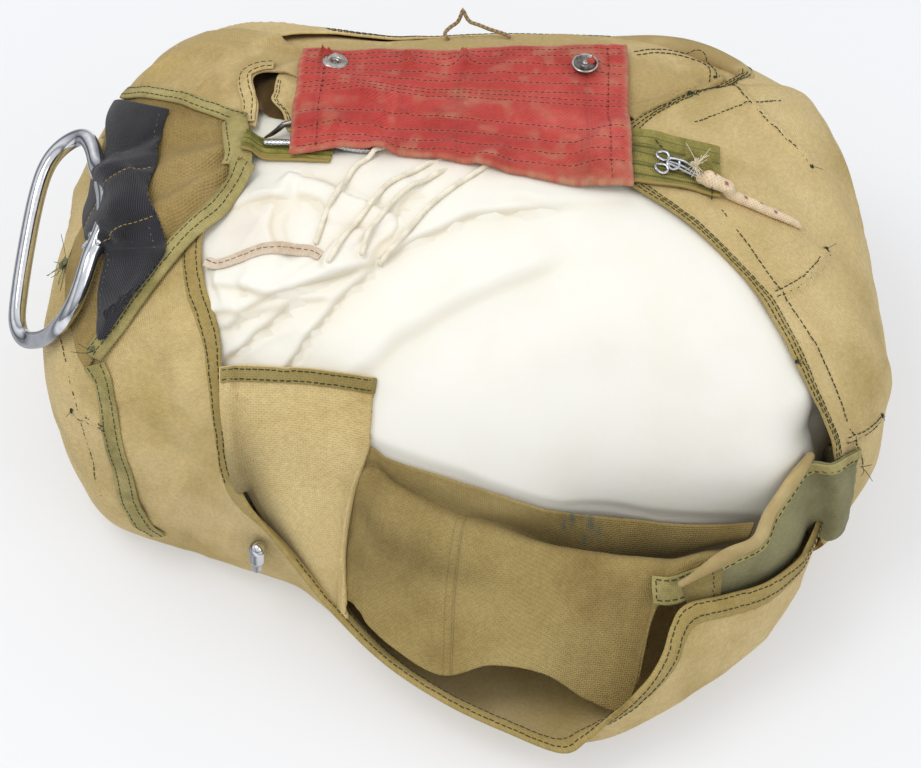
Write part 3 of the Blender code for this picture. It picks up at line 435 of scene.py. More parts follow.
# Puts points, faces, a UV map in metres and named point values into a new smooth mesh object.
def addPiece(name, points, faces, look, uv=None, values=None, node=None, slot=None):
    mesh = bpy.data.meshes.new(name)
    mesh.from_pydata(np.asarray(points, float), [], faces)
    if uv is not None:
        corners = np.zeros(len(mesh.loops), np.int32)
        mesh.loops.foreach_get("vertex_index", corners)
        layer = mesh.uv_layers.new(name="cloth")
        layer.data.foreach_set("uv", np.asarray(uv, np.float32)[corners].ravel())
    # Faces point outwards: they are turned round where the volume that they enclose is negative.
    mesh.calc_loop_triangles()
    thirds = np.zeros(len(mesh.loop_triangles) * 3, np.int32)
    mesh.loop_triangles.foreach_get("vertices", thirds)
    thirds = np.asarray(points, float)[thirds.reshape(-1, 3)]
    if (thirds[:, 0] * np.cross(thirds[:, 1], thirds[:, 2])).sum() < 0:
        mesh.flip_normals()
    for key, value in (values or {}).items():
        layer = mesh.attributes.new(key, "FLOAT", "POINT")
        layer.data.foreach_set("value", np.asarray(value, np.float32).ravel())
    mesh.polygons.foreach_set("use_smooth", np.full(len(mesh.polygons), True))
    mesh.materials.append(look)
    mesh.update()
    made = bpy.data.objects.new(name, mesh)
    scene.collection.objects.link(made)
    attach(made, "root")
    if node:
        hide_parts(node)
    return made


# One closed cloth: an outer and an inner grid joined round the edge by a half-round rim.
# The inner grid is thinned by "skip" where it isn't seen.
def closedCloth(name, outer, inner, look, skip=1, values=None, **more):
    nu, nv = outer.shape[:2]
    keepU = np.unique(np.append(np.arange(0, nu, skip), nu - 1))
    keepV = np.unique(np.append(np.arange(0, nv, skip), nv - 1))
    below = inner[np.ix_(keepU, keepV)]
    mu, mv = below.shape[:2]
    run = np.stack([runOf(outer, 0).mean(1, keepdims=True) + 0 * outer[..., 0], runOf(outer, 1)],
                   -1)
    top = np.arange(nu * nv).reshape(nu, nv)
    low = np.arange(mu * mv).reshape(mu, mv) + nu * nv

    def cells(index):
        corners = (index[:-1, :-1], index[1:, :-1], index[1:, 1:], index[:-1, 1:])
        return np.stack(corners, -1).reshape(-1, 4)

    def loopOf(index):
        return np.concatenate([index[:, 0], index[-1, 1:], index[-2::-1, -1], index[0, -2:0:-1]])

    edge = loopOf(top)
    flat, under = outer.reshape(-1, 3), inner.reshape(-1, 3)
    outward = np.zeros_like(outer)
    outward[0] += outer[0] - outer[1]
    outward[-1] += outer[-1] - outer[-2]
    outward[:, 0] += outer[:, 0] - outer[:, 1]
    outward[:, -1] += outer[:, -1] - outer[:, -2]
    outward = unit(outward.reshape(-1, 3)[edge])
    half = (flat[edge] - under[edge]) / 2
    middle = (flat[edge] + under[edge]) / 2
    size = np.linalg.norm(half, axis=1, keepdims=True)
    rings, count = [], len(edge)
    for turn in (45, 90, 135):
        t = math.radians(turn)
        rings.append(middle + half * math.cos(t) + outward * size * math.sin(t) * 0.9)
    points = np.concatenate([flat, below.reshape(-1, 3)] + rings)
    start = nu * nv + mu * mv
    chain = [edge] + [start + k * count + np.arange(count) for k in range(3)]
    quads = [cells(top), cells(low)[:, ::-1]]
    for a, b in zip(chain[:-1], chain[1:]):
        quads.append(np.stack([np.roll(a, -1), a, b, np.roll(b, -1)], -1))
    faces = np.concatenate(quads).tolist()
    # The last ring meets the thinned inner edge: one many-sided face for each inner step.
    inside = loopOf(low)
    fineOf = np.concatenate([keepU * nv, (nu - 1) * nv + keepV[1:], keepU[-2::-1] * nv + nv - 1,
                             keepV[-2:0:-1]])
    spot = {value: k for k, value in enumerate(edge.tolist())}
    places = [spot[value] for value in fineOf.tolist()] + [count]
    last = chain[-1]
    for k in range(len(inside)):
        a, b = places[k], places[k + 1]
        outerSide = [int(last[m % count]) for m in range(b, a - 1, -1)]
        faces.append(outerSide + [int(inside[k]), int(inside[(k + 1) % len(inside)])])
    slopes = np.cross(np.gradient(outer, axis=0), np.gradient(outer, axis=1))
    if ((flat - under) * slopes.reshape(-1, 3)).sum() < 0:
        faces = [face[::-1] for face in faces]
    uvs = np.concatenate([run.reshape(-1, 2), run[np.ix_(keepU, keepV)].reshape(-1, 2)]
                         + [run.reshape(-1, 2)[edge]] * 3)
    carried = {key: np.concatenate([np.ravel(value), value[np.ix_(keepU, keepV)].ravel()]
                                   + [np.ravel(value)[edge]] * 3)
               for key, value in (values or {}).items()}
    return addPiece(name, points, faces, look, uv=uvs, values=carried, **more)


# ---- what has been laid on the form so far, as the highest lift at each angle and height share

laid = {"angles": 1800, "shares": 720, "bare": -0.0045}    # cells, and the lift where nothing lies
laid["lift"] = np.full((laid["angles"], laid["shares"] + 1), laid["bare"])


# Adds a laid piece: its grid of angle, share and lift is refined and each cell keeps its highest.
def layDown(angle, share, lift, refine=4):
    angle, share, lift = np.broadcast_arrays(angle, share, lift)

    def finer(grid):
        for axis in (0, 1):
            n = grid.shape[axis]
            at = np.linspace(0, n - 1, (n - 1) * refine + 1)
            i = np.clip(at.astype(int), 0, n - 2)
            f = (at - i).reshape((-1, 1) if axis == 0 else (1, -1))
            grid = np.take(grid, i, axis) * (1 - f) + np.take(grid, i + 1, axis) * f
        return grid.ravel()

    a, s, up = finer(angle), finer(share), finer(lift)
    i = np.round(np.mod(a, 360) / 360 * laid["angles"]).astype(int) % laid["angles"]
    j = np.clip(np.round(s * laid["shares"]), 0, laid["shares"]).astype(int)
    np.maximum.at(laid["lift"], (i, j), up)


# Lift of what lies at each place: the highest there and at eight places round it, as far away as
# the reach (m). A reach is turned into degrees and height share by about the form's own size.
def whatLies(angle, share, reach):
    angle, share = np.broadcast_arrays(np.asarray(angle, float), np.asarray(share, float))
    best = np.full(angle.shape, -1.0)
    radius = np.maximum(0.02, 0.2 * np.sqrt(np.clip(1.02 - share, 0.01, 1)))
    wide, long = np.degrees(reach / radius), reach / 0.33
    for turn in range(9):
        da = wide * math.cos(turn * math.pi / 4) if turn < 8 else 0
        ds = long * math.sin(turn * math.pi / 4) if turn < 8 else 0
        at = np.mod(angle + da, 360) / 360 * laid["angles"]
        to = np.clip((share + ds) * laid["shares"], 0, laid["shares"] - 1e-6)
        i, j = np.floor(at).astype(int), np.floor(to).astype(int)
        fi, fj = at - i, to - j
        i2, i = (i + 1) % laid["angles"], i % laid["angles"]
        found = ((1 - fi) * ((1 - fj) * laid["lift"][i, j] + fj * laid["lift"][i, j + 1])
                 + fi * ((1 - fj) * laid["lift"][i2, j] + fj * laid["lift"][i2, j + 1]))
        best = np.maximum(best, found)
    return best


# Mean of each grid value's four neighbours.
def neighbours(grid):
    wide = np.pad(grid, 1, mode="edge")
    return (wide[:-2, 1:-1] + wide[2:, 1:-1] + wide[1:-1, :-2] + wide[1:-1, 2:]) / 4


# Cloth pulled over what it lies on: each point is its neighbours' mean, never below its floor.
def eased(floorLift, passes):
    lift = floorLift.copy()
    for _ in range(passes):
        lift = np.maximum(floorLift, neighbours(lift))
    return lift


# ---- stitches: short rounded threads set along lines, gathered by colour

threads = {}
stitch = {
    "length": 2.7, "gap": 0.42, "radius": 0.29,    # mm
    "sunk": 0.10, "sides": 5,
    # share of the length, width and height of each ring over the radius
    "rings": ((0.0, 0.3, -0.8), (0.15, 1.0, 0.4), (0.85, 1.0, 0.4), (1.0, 0.3, -0.8)),
}


# Stitches along a line of points with its up directions: evenly stepped, each a little astray.
def sew(colour, points, ups, length=None, gap=None, radius=None, astray=0.22):
    length, gap = (length or stitch["length"]) * mm, (gap or stitch["gap"]) * mm
    radius = (radius or stitch["radius"]) * mm
    far = runLength(points)
    count = max(1, int(far[-1] / (length + gap)))
    middle = (np.arange(count) + 0.5) * far[-1] / count + chance.normal(0, 0.12, count) * gap
    half = length / 2 * (1 + chance.normal(0, 0.08, count))

    def at(place, table):
        return np.stack([np.interp(place, far, table[:, k]) for k in range(3)], 1)

    a, b, up = at(middle - half, points), at(middle + half, points), unit(at(middle, ups))
    side = unit(np.cross(b - a, up))
    shift = side * chance.normal(0, astray, (count, 1)) * mm
    tilt = side * chance.normal(0, astray * 0.6, (count, 1)) * mm
    threads.setdefault(colour, []).append(
        (a + shift + tilt, b + shift - tilt, up, np.full(count, radius)))


# All stitches of a colour as one mesh: every thread is a small capsule bowed over the cloth.
def stitchPiece(name, colour, look, slot):
    a, b, up, radius = (np.concatenate([part[k] for part in threads[colour]]) for k in range(4))
    along = b - a
    size = np.linalg.norm(along, axis=1, keepdims=True)
    along = along / size
    side = unit(np.cross(along, up))
    up = np.cross(side, along)
    t, wide, high = np.array(stitch["rings"]).T
    high = high + stitch["sunk"]
    turn = np.linspace(0, 2 * math.pi, stitch["sides"], endpoint=False)
    r = radius[:, None, None, None]
    points = (a[:, None, None] + along[:, None, None] * size[:, None, None] * t[None, :, None, None]
              + up[:, None, None] * r * high[None, :, None, None]
              + r * wide[None, :, None, None]
              * (side[:, None, None] * np.cos(turn)[None, None, :, None]
                 + up[:, None, None] * np.sin(turn)[None, None, :, None]))
    n, rings, sides = len(a), len(t), len(turn)
    base = np.arange(rings * sides).reshape(rings, sides)
    quads = np.stack([base[:-1], np.roll(base, -1, 1)[:-1], np.roll(base, -1, 1)[1:], base[1:]],
                     -1).reshape(-1, 4)
    ends = np.array((base[0, ::-1], base[-1]))
    offset = (np.arange(n) * rings * sides)[:, None, None]
    faces = (quads[None] + offset).reshape(-1, 4).tolist()
    faces += (ends[None] + offset).reshape(-1, sides).tolist()
    print(name, n, "stitches")
    return addPiece(name, points.reshape(-1, 3), faces, look, slot=slot)


# ---- woven cloth materials

# Cotton or linen cloth, woven and piece-dyed: matt, uneven in tone, with threads that catch light,
# painted into its colour as lighter thread tops and darker gaps between them.
# Threads are "thread" mm apart; two sine waves cross, and a diagonal one gives the twill line.
def wovenCloth(name, look):
    made, tree, shader = newMaterial(name, {"Roughness": look.get("roughness", 0.9),
                                            "Sheen Weight": look.get("sheen", 0.05),
                                            "Sheen Roughness": 0.5,
                                            "Specular IOR Level": look.get("specular", 0.25)})
    place = addNode(tree, "TexCoord")
    source = (place, 3) if look.get("flat") else (addNode(tree, "UVMap", {"uv_map": "cloth"}), 0)
    cloth = addNode(tree, "Mapping", {"Rotation": (0, 0, look.get("turn", 0))}, {"Vector": source})
    thread = look["thread"]
    wander = {"Distortion": 0.7, "Detail": 1.0, "Detail Scale": 0.35}
    warp = threadWave(tree, cloth, "X", thread, wander)
    weft = threadWave(tree, cloth, "Y", thread, wander)
    twill = threadWave(tree, cloth, "DIAGONAL", thread,
                  {"Distortion": 0.9, "Detail": 1.0, "Detail Scale": 0.3})
    crossed = addNode(tree, "Math", {"operation": "MULTIPLY"}, {0: (warp, 1), 1: (weft, 1)})
    threadsUp = addNode(tree, "Mix", {"data_type": "FLOAT", "Factor": look.get("twill", 0.5)},
                        {2: (crossed, 0), 3: (twill, 1)})
    slub = noise(tree, (cloth, 0), thread * 2.2, 3.0, {"Roughness": 0.65})
    fade = noise(tree, (place, 3), look.get("patch", 45), 4.0, {"Roughness": 0.6})
    spots = noise(tree, (place, 3), 9, 3.0)
    tone = ramp(tree, (fade, 0), (0.30, look["dark"]), (0.52, look["base"]), (0.74, look["light"]))
    fine = ramp(tree, (slub, 0), (0.25, (0.78, 0.78, 0.77)), (0.75, 1.10))
    withSlub = mix(tree, look.get("slub", 0.8), (tone, 0), (fine, 0), "MULTIPLY")
    # Painted highlight and shade of the weave: thread tops lighter, the gaps between them darker.
    threadLightShade = ramp(tree, (threadsUp, 0), (0.0, (0.62, 0.60, 0.56)), (0.65, (1.06, 1.06, 1.05)))
    withThreadLight = mix(tree, look.get("weaveTone", 0.45), (withSlub, 2), (threadLightShade, 0), "MULTIPLY")
    grime = ramp(tree, (spots, 0), (0.62, 0), (0.80, 1))
    grimeShare = addNode(tree, "Math", {"operation": "MULTIPLY", 1: look.get("grime", 0.25)},
                         {0: (grime, 0)})
    last = mix(tree, (grimeShare, 0), (withThreadLight, 2), look["dark"])
    # The first point value holds painted shade on the canopy and the khaki cloths, and real tints
    # on the webbing lines and the red flap's wear; the second holds real marks.
    for attribute in ("hollow", "marks"):
        if look.get(attribute):
            last = painted(tree, last, attribute, look[attribute])
    if look.get("tape"):
        rim = addNode(tree, "Attribute", {"attribute_name": "tape"})
        onTape = ramp(tree, (rim, 2), (0.49, 0), (0.51, 1))
        tapeTone = mix(tree, 1.0, (withThreadLight, 2), look["tape"], "MULTIPLY")
        last = mix(tree, (onTape, 0), (last, 2), (tapeTone, 2))
    finished(tree, shader, last.outputs[2],
             ((threadsUp, 0), look.get("weaveBump", 0.55), thread * 0.45), ((slub, 0), 0.35, 0.35))
    return made


# ---- pack wall: canvas body with its open front, rim hems, darts and creases

wall = {
    "thickness": 1.4,      # mm
    "columns": 620, "rows": 82,
    "hem": 9.0, "hemRise": 0.75,
    "bend": 0.6,           # share of an open section's rows that go to its belly
    "deepest": -2.2,       # lowest that a crease may sink (mm)
    # foot angle, rim angle, rim share, rim lift (mm)
    "closed": (
        (-34, -33.0, .345, 1), (-32, -34.4, .430, 1), (-29, -34.0, .500, 1),
        (-25, -31.5, .636, 1), (-20, -26.6, .718, 1), (-14, -18.2, .816, 1),
        (-7, -9.5, .884, 1), (3, 3.0, .900, 1), (14, 17.0, .864, 1), (20, 21.5, .823, 1),
        (25, 24.6, .765, 1), (29, 26.5, .690, 2), (34, 31.0, .625, 1), (42, 40.0, .590, 0),
        (56, 56.0, .580, 0), (72, 72.0, .580, 0), (88, 88.0, .590, 0), (104, 104., .610, 0),
        (117, 117., .650, 0), (128, 128., .690, 1), (139, 140., .705, 2), (151, 152., .700, 1),
        (164, 165., .700, 0), (176, 178., .730, 0), (186, 188., .785, 0), (194, 197., .775, 1),
        (203, 209.2, .743, 3), (212, 219.8, .644, 3), (220, 227.2, .483, 3),
    ),
    # foot angle and radius, belly angle, radius and height, rim angle, radius and height (mm)
    "open": (
        (226, 150, 229.0, 166, 40, 232.0, 167, 88), (236, 142, 241.0, 158, 36, 242.8, 172, 63),
        (246, 140, 252.0, 171, 28, 252.9, 185, 47), (256, 140, 263.0, 192, 22, 264.2, 204, 37),
        (265, 140, 272.5, 207, 16, 273.2, 220, 33), (273, 140, 280.3, 224, 14, 280.8, 238, 31),
        (278, 142, 284.5, 227, 15, 284.4, 237, 37), (283, 144, 288.5, 230, 20, 288.2, 233, 47),
        (288, 147, 292.5, 230, 25, 291.5, 230, 57), (293, 150, 296.0, 228, 28, 294.4, 225, 64),
        (297, 154, 298.0, 227, 30, 297.0, 216, 73), (301, 158, 300.5, 226, 31, 299.8, 212, 79),
        (306, 163, 306.0, 225, 33, 306.0, 217, 75), (312, 167, 312.0, 224, 37, 312.5, 222, 71),
        (318, 171, 318.0, 219, 44, 319.0, 218, 66), (323, 174, 323.0, 214, 48, 324.0, 213, 62),
        (330, 176, 330.0, 209, 50, 330.0, 207, 58),
    ),
    # line on the form, height (mm, troughs below 0), half width (mm), shares of its fades
    "creases": (
        (((210.3, .538), (216.7, .491), (222.6, .450)), -2.6, 7),
        (((196.3, .533), (205.1, .485), (209.9, .382), (212.2, .281)), -0.9, 2.2),
        (((204.1, .437), (207.4, .456), (210.7, .475)), 1.6, 2.4),
        (((-23.8, .710), (-16, .663), (-8.3, .615)), 2.6, 2.2, 0.05, 0.1),
        (((-31.9, .480), (-28, .457), (-24.4, .433)), 2.4, 2.2, 0.05, 0.1),
        (((25.6, .695), (17.1, .671), (8.1, .606)), 2.8, 2.2, 0.05, 0.1),
        (((8.4, .843), (-4.5, .809), (-18.6, .737), (-26.1, .647), (-30.4, .519), (-29.8, .400)),
         -0.8, 2.0),
        (((-4.6, .663), (-6.2, .598), (-6.1, .523)), -2.6, 11),
        (((6.9, .680), (2.7, .670), (-1.4, .663)), -2.0, 8),
        (((-13.9, .812), (-21.2, .763), (-25.1, .709)), -1.6, 6),
        (((12, .63), (4, .56), (-4, .50)), 1.8, 9),
        (((204.7, .698), (209.3, .711), (211.8, .719)), -1.8, 5),
        (((204.4, .627), (211.7, .612), (218.1, .528)), -2.2, 6),
        (((201.6, .452), (206.6, .406), (209.8, .362)), -2.0, 6),
        (((212, .434), (214.2, .368), (214.5, .276)), -2.2, 6),
        (((206, .56), (213, .52), (220, .44)), 1.8, 7),
        (((200, .58), (206, .52), (211, .45)), 1.6, 5),
    ),
}


# Rows of numbers with a cubic curve through them, a step of the table's own rows apart.
def finerRows(rows, step):
    return smoothRows(rows, round((len(rows) - 1) / step) + 1)


# Wall sections: on the form each runs from its foot to the rim; where the wall is open it is two
# quarter waves, foot to belly and belly to rim. A cubic curve joins the sections.
wallShare = 1 - (1 - np.linspace(0, 1, wall["rows"])) ** 1.35
v = wallShare[None]
rows = finerRows(wall["closed"], 0.72)
foot, rim, share, lift = (rows[:, k:k + 1] for k in range(4))
closedPart = onForm(foot + (rim - foot) * v**1.5, share * v, lift * mm * smooth(0.75, 1.0, v))
rows = finerRows(wall["open"], 0.84)
foot, footR, bellyA, bellyR, bellyZ, rim, rimR, rimZ = (rows[:, k:k + 1] for k in range(8))
low = np.clip(v / wall["bend"], 0, 1) * math.pi / 2
high = np.clip((v - wall["bend"]) / (1 - wall["bend"]), 0, 1) * math.pi / 2
openPart = polar(foot + (bellyA - foot) * np.sin(low) + (rim - bellyA) * (1 - np.cos(high)),
                 footR + (bellyR - footR) * np.sin(low) + (rimR - bellyR) * (1 - np.cos(high)),
                 2 + (bellyZ - 2) * (1 - np.cos(low)) + (rimZ - bellyZ) * np.sin(high)
                 + 3.0 * smooth(320, 326, foot))
sections = np.concatenate([closedPart, openPart])
closedCount = len(closedPart)
# Columns are spread by the length round the pack, with fewer of them at the plain back.
spread = np.linalg.norm(np.diff(sections[:, [wall["rows"] // 3, -1]], axis=0), axis=-1).mean(1)
halfUp = wall["rows"] // 2 - 1
middleAngle, _ = planPolar(sections[:-1, halfUp, 0], sections[:-1, halfUp, 1])
spread *= np.where((middleAngle > 45) & (middleAngle < 130), 0.55, 1.0)
run = np.concatenate([[0], np.cumsum(spread)])
wallAt = np.interp(np.linspace(0, run[-1], wall["columns"]), run, np.arange(len(sections)))
wallIn = spline(np.arange(len(sections)), sections, wallAt)
wallUp = gridUp(wallIn)
wallUp[:, 0] = (0, 0, -1)
along, up_ = runOf(wallIn, 0), runOf(wallIn, 1)
alongRim = along[:, -30:-29] + 0 * up_
toRim = (up_[:, -1:] - up_) / mm
isOpen = smooth(closedCount - 2.0, closedCount + 1.5, wallAt)[:, None]
swing = (2.2 * drift(alongRim / 0.055, up_ / 0.070, 3)
         + 1.1 * drift(alongRim / 0.021, up_ / 0.048, 4)
         + 0.45 * drift(alongRim / 0.009, up_ / 0.020, 5))
fold = 1 - np.abs(drift(alongRim / 0.060 + 0.5 * drift(alongRim / 0.05, up_ / 0.05, 8),
                        up_ / 0.060 + 0.6 * alongRim / 0.06, 6))
swing += 1.8 * fold ** 7
lower = smooth(0, 0.02, up_) * (0.25 + 0.75 * smooth(2, 28, toRim))
push = swing * mm * lower * (1 - 0.55 * isOpen) + creases(wallIn, wall["creases"])
push = np.maximum(push, wall["deepest"] * mm)
rimPlace = fromRight(planPolar(wallIn[:, -1:, 0], wallIn[:, -1:, 1])[0])
hasHem = 1 - smooth(29, 33, rimPlace) * smooth(200, 192, rimPlace)
hemmed = smooth(wall["hem"] + 0.5, wall["hem"] - 0.3, toRim) * hasHem
hemRise = hemmed * wall["hemRise"] * mm
wallOut = wallIn + wallUp * (wall["thickness"] * mm + push + hemRise)[..., None]
wallIn = wallIn + wallUp * (push - isOpen * hemRise)[..., None]
wallIn[:, 0] += (0, 0, 0.0009)
# Both faces stay above the table, a little apart.
wallOut[..., 2] = np.maximum(wallOut[..., 2], 0.0002)
wallIn[..., 2] = np.maximum(wallIn[..., 2], 0.0012)
angle, share, lift = formPlace(wallOut)
inForm = wallAt < closedCount - 0.5
layDown(angle[inForm], share[inForm], lift[inForm])

canvasLook = {"thread": 1.05, "base": "#DAC28A", "light": "#E5CE98", "dark": "#C2AA6E",
              "tape": "#D6D4BE", "grime": 0.22, "twill": 0.10, "turn": 0.55, "weaveTone": 0.42}
packCanvas = wovenCloth("cotton_canvas_twill", canvasLook)
# The taped hem runs round the front and the right side; at the back the cloth is only folded.
tapeMask = (0.5 + 0.5 * np.clip(wall["hem"] - toRim, -1, 1)) * hasHem
closedCloth("pack_wall_canvas", wallOut, wallIn, packCanvas, skip=2, node="pack_wall",
            slot="pack_canvas", values={"tape": tapeMask})
print("pack wall made")

# ---- canopy: a white silk-like cloth folded into the pack, with long lapped folds at the left

canopy = {
    "thickness": 0.8,
    "lowerLine": ((240, .60), (250.6, .544), (269.3, .49), (288.9, .40), (304.4, .365),
                  (317.8, .363), (324.9, .471)),
    "bodyColumns": 150, "bodyRows": 44,
    "across": (-0.345, 0.585, 286), "deep": (-0.64, 0.085, 216),
    # plan points (mm), step (mm), fade (mm), lip (mm), blur (mm); the left of the line lies on top
    "laps": (
        (((-126, 9), (-117, 10), (-106, 9), (-96, 9), (-87, 8), (-78, 6)), 4.2, 13, 2.4, 1.5),
        (((-120, -50), (-110, -49), (-104, -45), (-97, -42), (-89, -39), (-76, -36), (-62, -32),
          (-46, -28), (-34, -21), (-23, -15), (-11, -10), (-2, -5), (6, -2), (30, 1), (60, 5)),
         3.2, 16, 1.8, 1.7),
        (((-107, -32), (-100, -36), (-93, -38), (-84, -38), (-74, -35), (-62, -32), (-46, -28)),
         2.2, 7, 1.4, 1.2),
        (((-119, -66), (-112, -61), (-104, -58), (-97, -53), (-91, -50), (-84, -45), (-77, -42)),
         3.2, 14, 1.8, 1.5),
        (((-90, -76), (-83, -67), (-78, -62), (-74, -57), (-68, -52), (-64, -48), (-59, -42),
          (-53, -37), (-46, -32), (-38, -26)), 3.4, 16, 1.8, 1.6),
        (((-60, -82), (-53, -74), (-49, -72), (-41, -68), (-31, -60), (-20, -55), (-11, -50),
          (1, -44), (12, -39), (30, -31), (52, -22)), 2.2, 26, 0.4, 4.5),
        (((-122, -45), (-116, -44), (-109, -44), (-103, -44)), 1.8, 8, 1.0, 1.1),
        (((-115, -52), (-110, -50), (-98, -46), (-87, -44), (-79, -42), (-69, -42), (-58, -42)),
         1.6, 8, 0.7, 1.2),
        (((-118, -33), (-107, -35), (-99, -37)), 1.5, 6, 0.8, 1.0),
        (((-85, 10), (-89, 3), (-91, -5), (-90, -13), (-86, -20), (-80, -24)), -2.0, 9, 0.9, 1.2),
        (((-80, 5), (-84, -2), (-85, -8), (-83, -16), (-80, -20)), -1.2, 5, 0.6, 0.9),
        (((-80, 9), (-73, 8.5), (-66, 4), (-63, -3), (-63, -10)), 2.2, 8, 0.9, 1.2),
        (((-65, -31), (-64, -24), (-61, -19), (-57, -15), (-52, -12), (-44, -11)),
         -1.8, 8, 0.8, 1.1),
        (((-86, 25), (-76, 20), (-64, 15), (-54, 8), (-42, 1), (-34, -5), (-31, -10)),
         -2.4, 13, 0.8, 1.8),
        (((-46, -27), (-39, -18), (-34, -14), (-31, -9), (-32, -3), (-30, 4), (-25, 9), (-18, 14)),
         2.2, 11, 0.8, 1.5),
        (((-124, 3), (-110, -4), (-98, -3), (-92, -2)), 0.8, 9, 0.0, 4.0),
        (((20, 8), (40, 4), (62, 8), (84, 12)), 1.2, 12, 0.0, 3.0),
    ),
    # brown stains: plan place and half widths (m), strength
    "stains": ((-0.100, -0.008, 0.020, 0.013, 0.55), (-0.048, -0.014, 0.016, 0.012, 0.40),
               (0.001, 0.030, 0.03, 0.012, 0.5)),
}

rimTable = np.array([(rim, share) for _, rim, share, _ in wall["closed"] if rim > -20])


# Height share of the wall's rim at an angle.
def rimShare(angle):
    return np.interp(angle, rimTable[:, 0], rimTable[:, 1])


# Canopy without its laps: a swell along its lower front line, and room under the wall and flaps.
def canopyLift(angle, share):
    angle = fromRight(angle)
    turned = np.mod(angle, 360)
    rows = np.array(canopy["lowerLine"])
    line = np.interp(turned, rows[:, 0], rows[:, 1])
    front = smooth(240, 250, turned) * (1 - smooth(318, 324, turned))
    swell = 0.0022 * front * smooth(line, line + .03, share) \
        * (1 - smooth(line + .1, line + .3, share))
    back = -0.0034 * smooth(4, 14, angle) * (1 - smooth(164, 176, angle)) \
        * smooth(.42, .48, share) * (1 - smooth(.90, .96, share))
    notch = -0.017 * smooth(317, 329, turned) * (1 - smooth(333, 341, turned)) \
        * (1 - smooth(.50, .60, share))
    edge = np.where(angle < -9.5, np.interp(angle, (-35, -34, -31.5, -26.6, -18.2, -9.5),
                                            (.37, .48, .63, .73, .82, .88)), rimShare(angle) - .03)
    edge = np.where(angle > 214, np.interp(angle, (214, 219.8, 227.2, 230, 234),
                                           (.66, .61, .45, .3, 0)), edge)
    edge = np.where(angle < -36, .0, edge)
    under = -0.0024 * (1 - smooth(edge - .05, edge, share)) * (edge > 0)
    return -0.0010 + swell + back + notch + under


# Lapped folds: beside each line the cloth steps up within the blur and sinks back over the fade;
# its edge leans out over the lower cloth by the lip, so the fold really overlaps. It also gives a
# painted shade for the lower cloth beside each fold's edge.
def laps(points, rows):
    flat = points * (1, 1, 0)
    height, slide = np.zeros(points.shape[:-1]), np.zeros(points.shape)
    crease = np.zeros(points.shape[:-1])
    count = 46    # points along each line
    for line, step, fade, lip, blur in rows:
        step, blur = step * 1.35, max(blur, 2.0)
        path = np.zeros((count, 3))
        path[:, :2] = smoothRows(np.asarray(line, float) * mm, count)
        near, place, side = toLine(flat, path)
        away = near * side / mm * np.sign(step)
        taper = smooth(0, .10, place) * smooth(0, .16, 1 - place)
        rise = smooth(-blur, blur, away)
        height += abs(step) * mm * rise * np.exp(-np.maximum(away - blur, 0) / fade) * taper
        d = np.gradient(path, axis=0)
        left = unit(np.stack([-d[:, 1], d[:, 0], 0 * d[:, 0]], -1))
        steps = np.linspace(0, 1, count)
        across = np.stack([np.interp(place, steps, left[:, k]) for k in range(3)], -1)
        bell = np.exp(-((away - blur * 0.45) / (blur * 0.95)) ** 2)
        slide -= across * (min(lip, blur * 0.6) * mm * bell * taper * np.sign(step))[..., None]
        # Painted shade: a soft warm darkening of the lower cloth beside the edge, and a thin line
        # along it.
        shade = np.exp(-np.maximum(-away, 0) / 5.5) * smooth(blur * 0.9, -blur * 0.9, away) * 0.45 \
            + 0.4 * np.exp(-((away + blur * 0.3) / (blur * 0.8)) ** 2)
        crease = np.maximum(crease, taper * shade * min(1, abs(step) / 3) * min(1, 1.8 / blur))
    return height, slide, crease


# Body of the canopy: the closed form below its top cloth.
bodyAngle = np.linspace(-60, 300, canopy["bodyColumns"], endpoint=False)[:, None]
bodyShare = np.linspace(0, 1, canopy["bodyRows"])[None, :-1] ** 0.85
body = onForm(bodyAngle, bodyShare, canopyLift(bodyAngle, bodyShare) - 0.0042)
# Its foot is drawn in to 0.78 of its size about the pack's centre, just over the base panel.
foot = body[:, :1] * (0.78, 0.78, 0) + (0, 0.03 * 0.22, packForm["groundLift"] + .0006)
body = np.concatenate([foot, body], 1)
columns, levels = body.shape[:2]
index = np.arange(columns * levels).reshape(columns, levels)
nextOne = np.roll(index, -1, 0)
sides = np.stack([index[:, :-1], nextOne[:, :-1], nextOne[:, 1:], index[:, 1:]], -1).reshape(-1, 4)
crownPoint = np.array([[*packForm["centre"], packForm["crown"] + packForm["groundLift"] - 0.0026]])
faces = sides.tolist() + np.stack([index[:, -1], nextOne[:, -1],
                                   np.full(columns, columns * levels)], -1).tolist()
faces.append(index[::-1, 0].tolist())
bodyPoints = np.concatenate([body.reshape(-1, 3), crownPoint])
bodyUv = np.stack([bodyPoints[:, 0], bodyPoints[:, 1] + bodyPoints[:, 2]], -1)


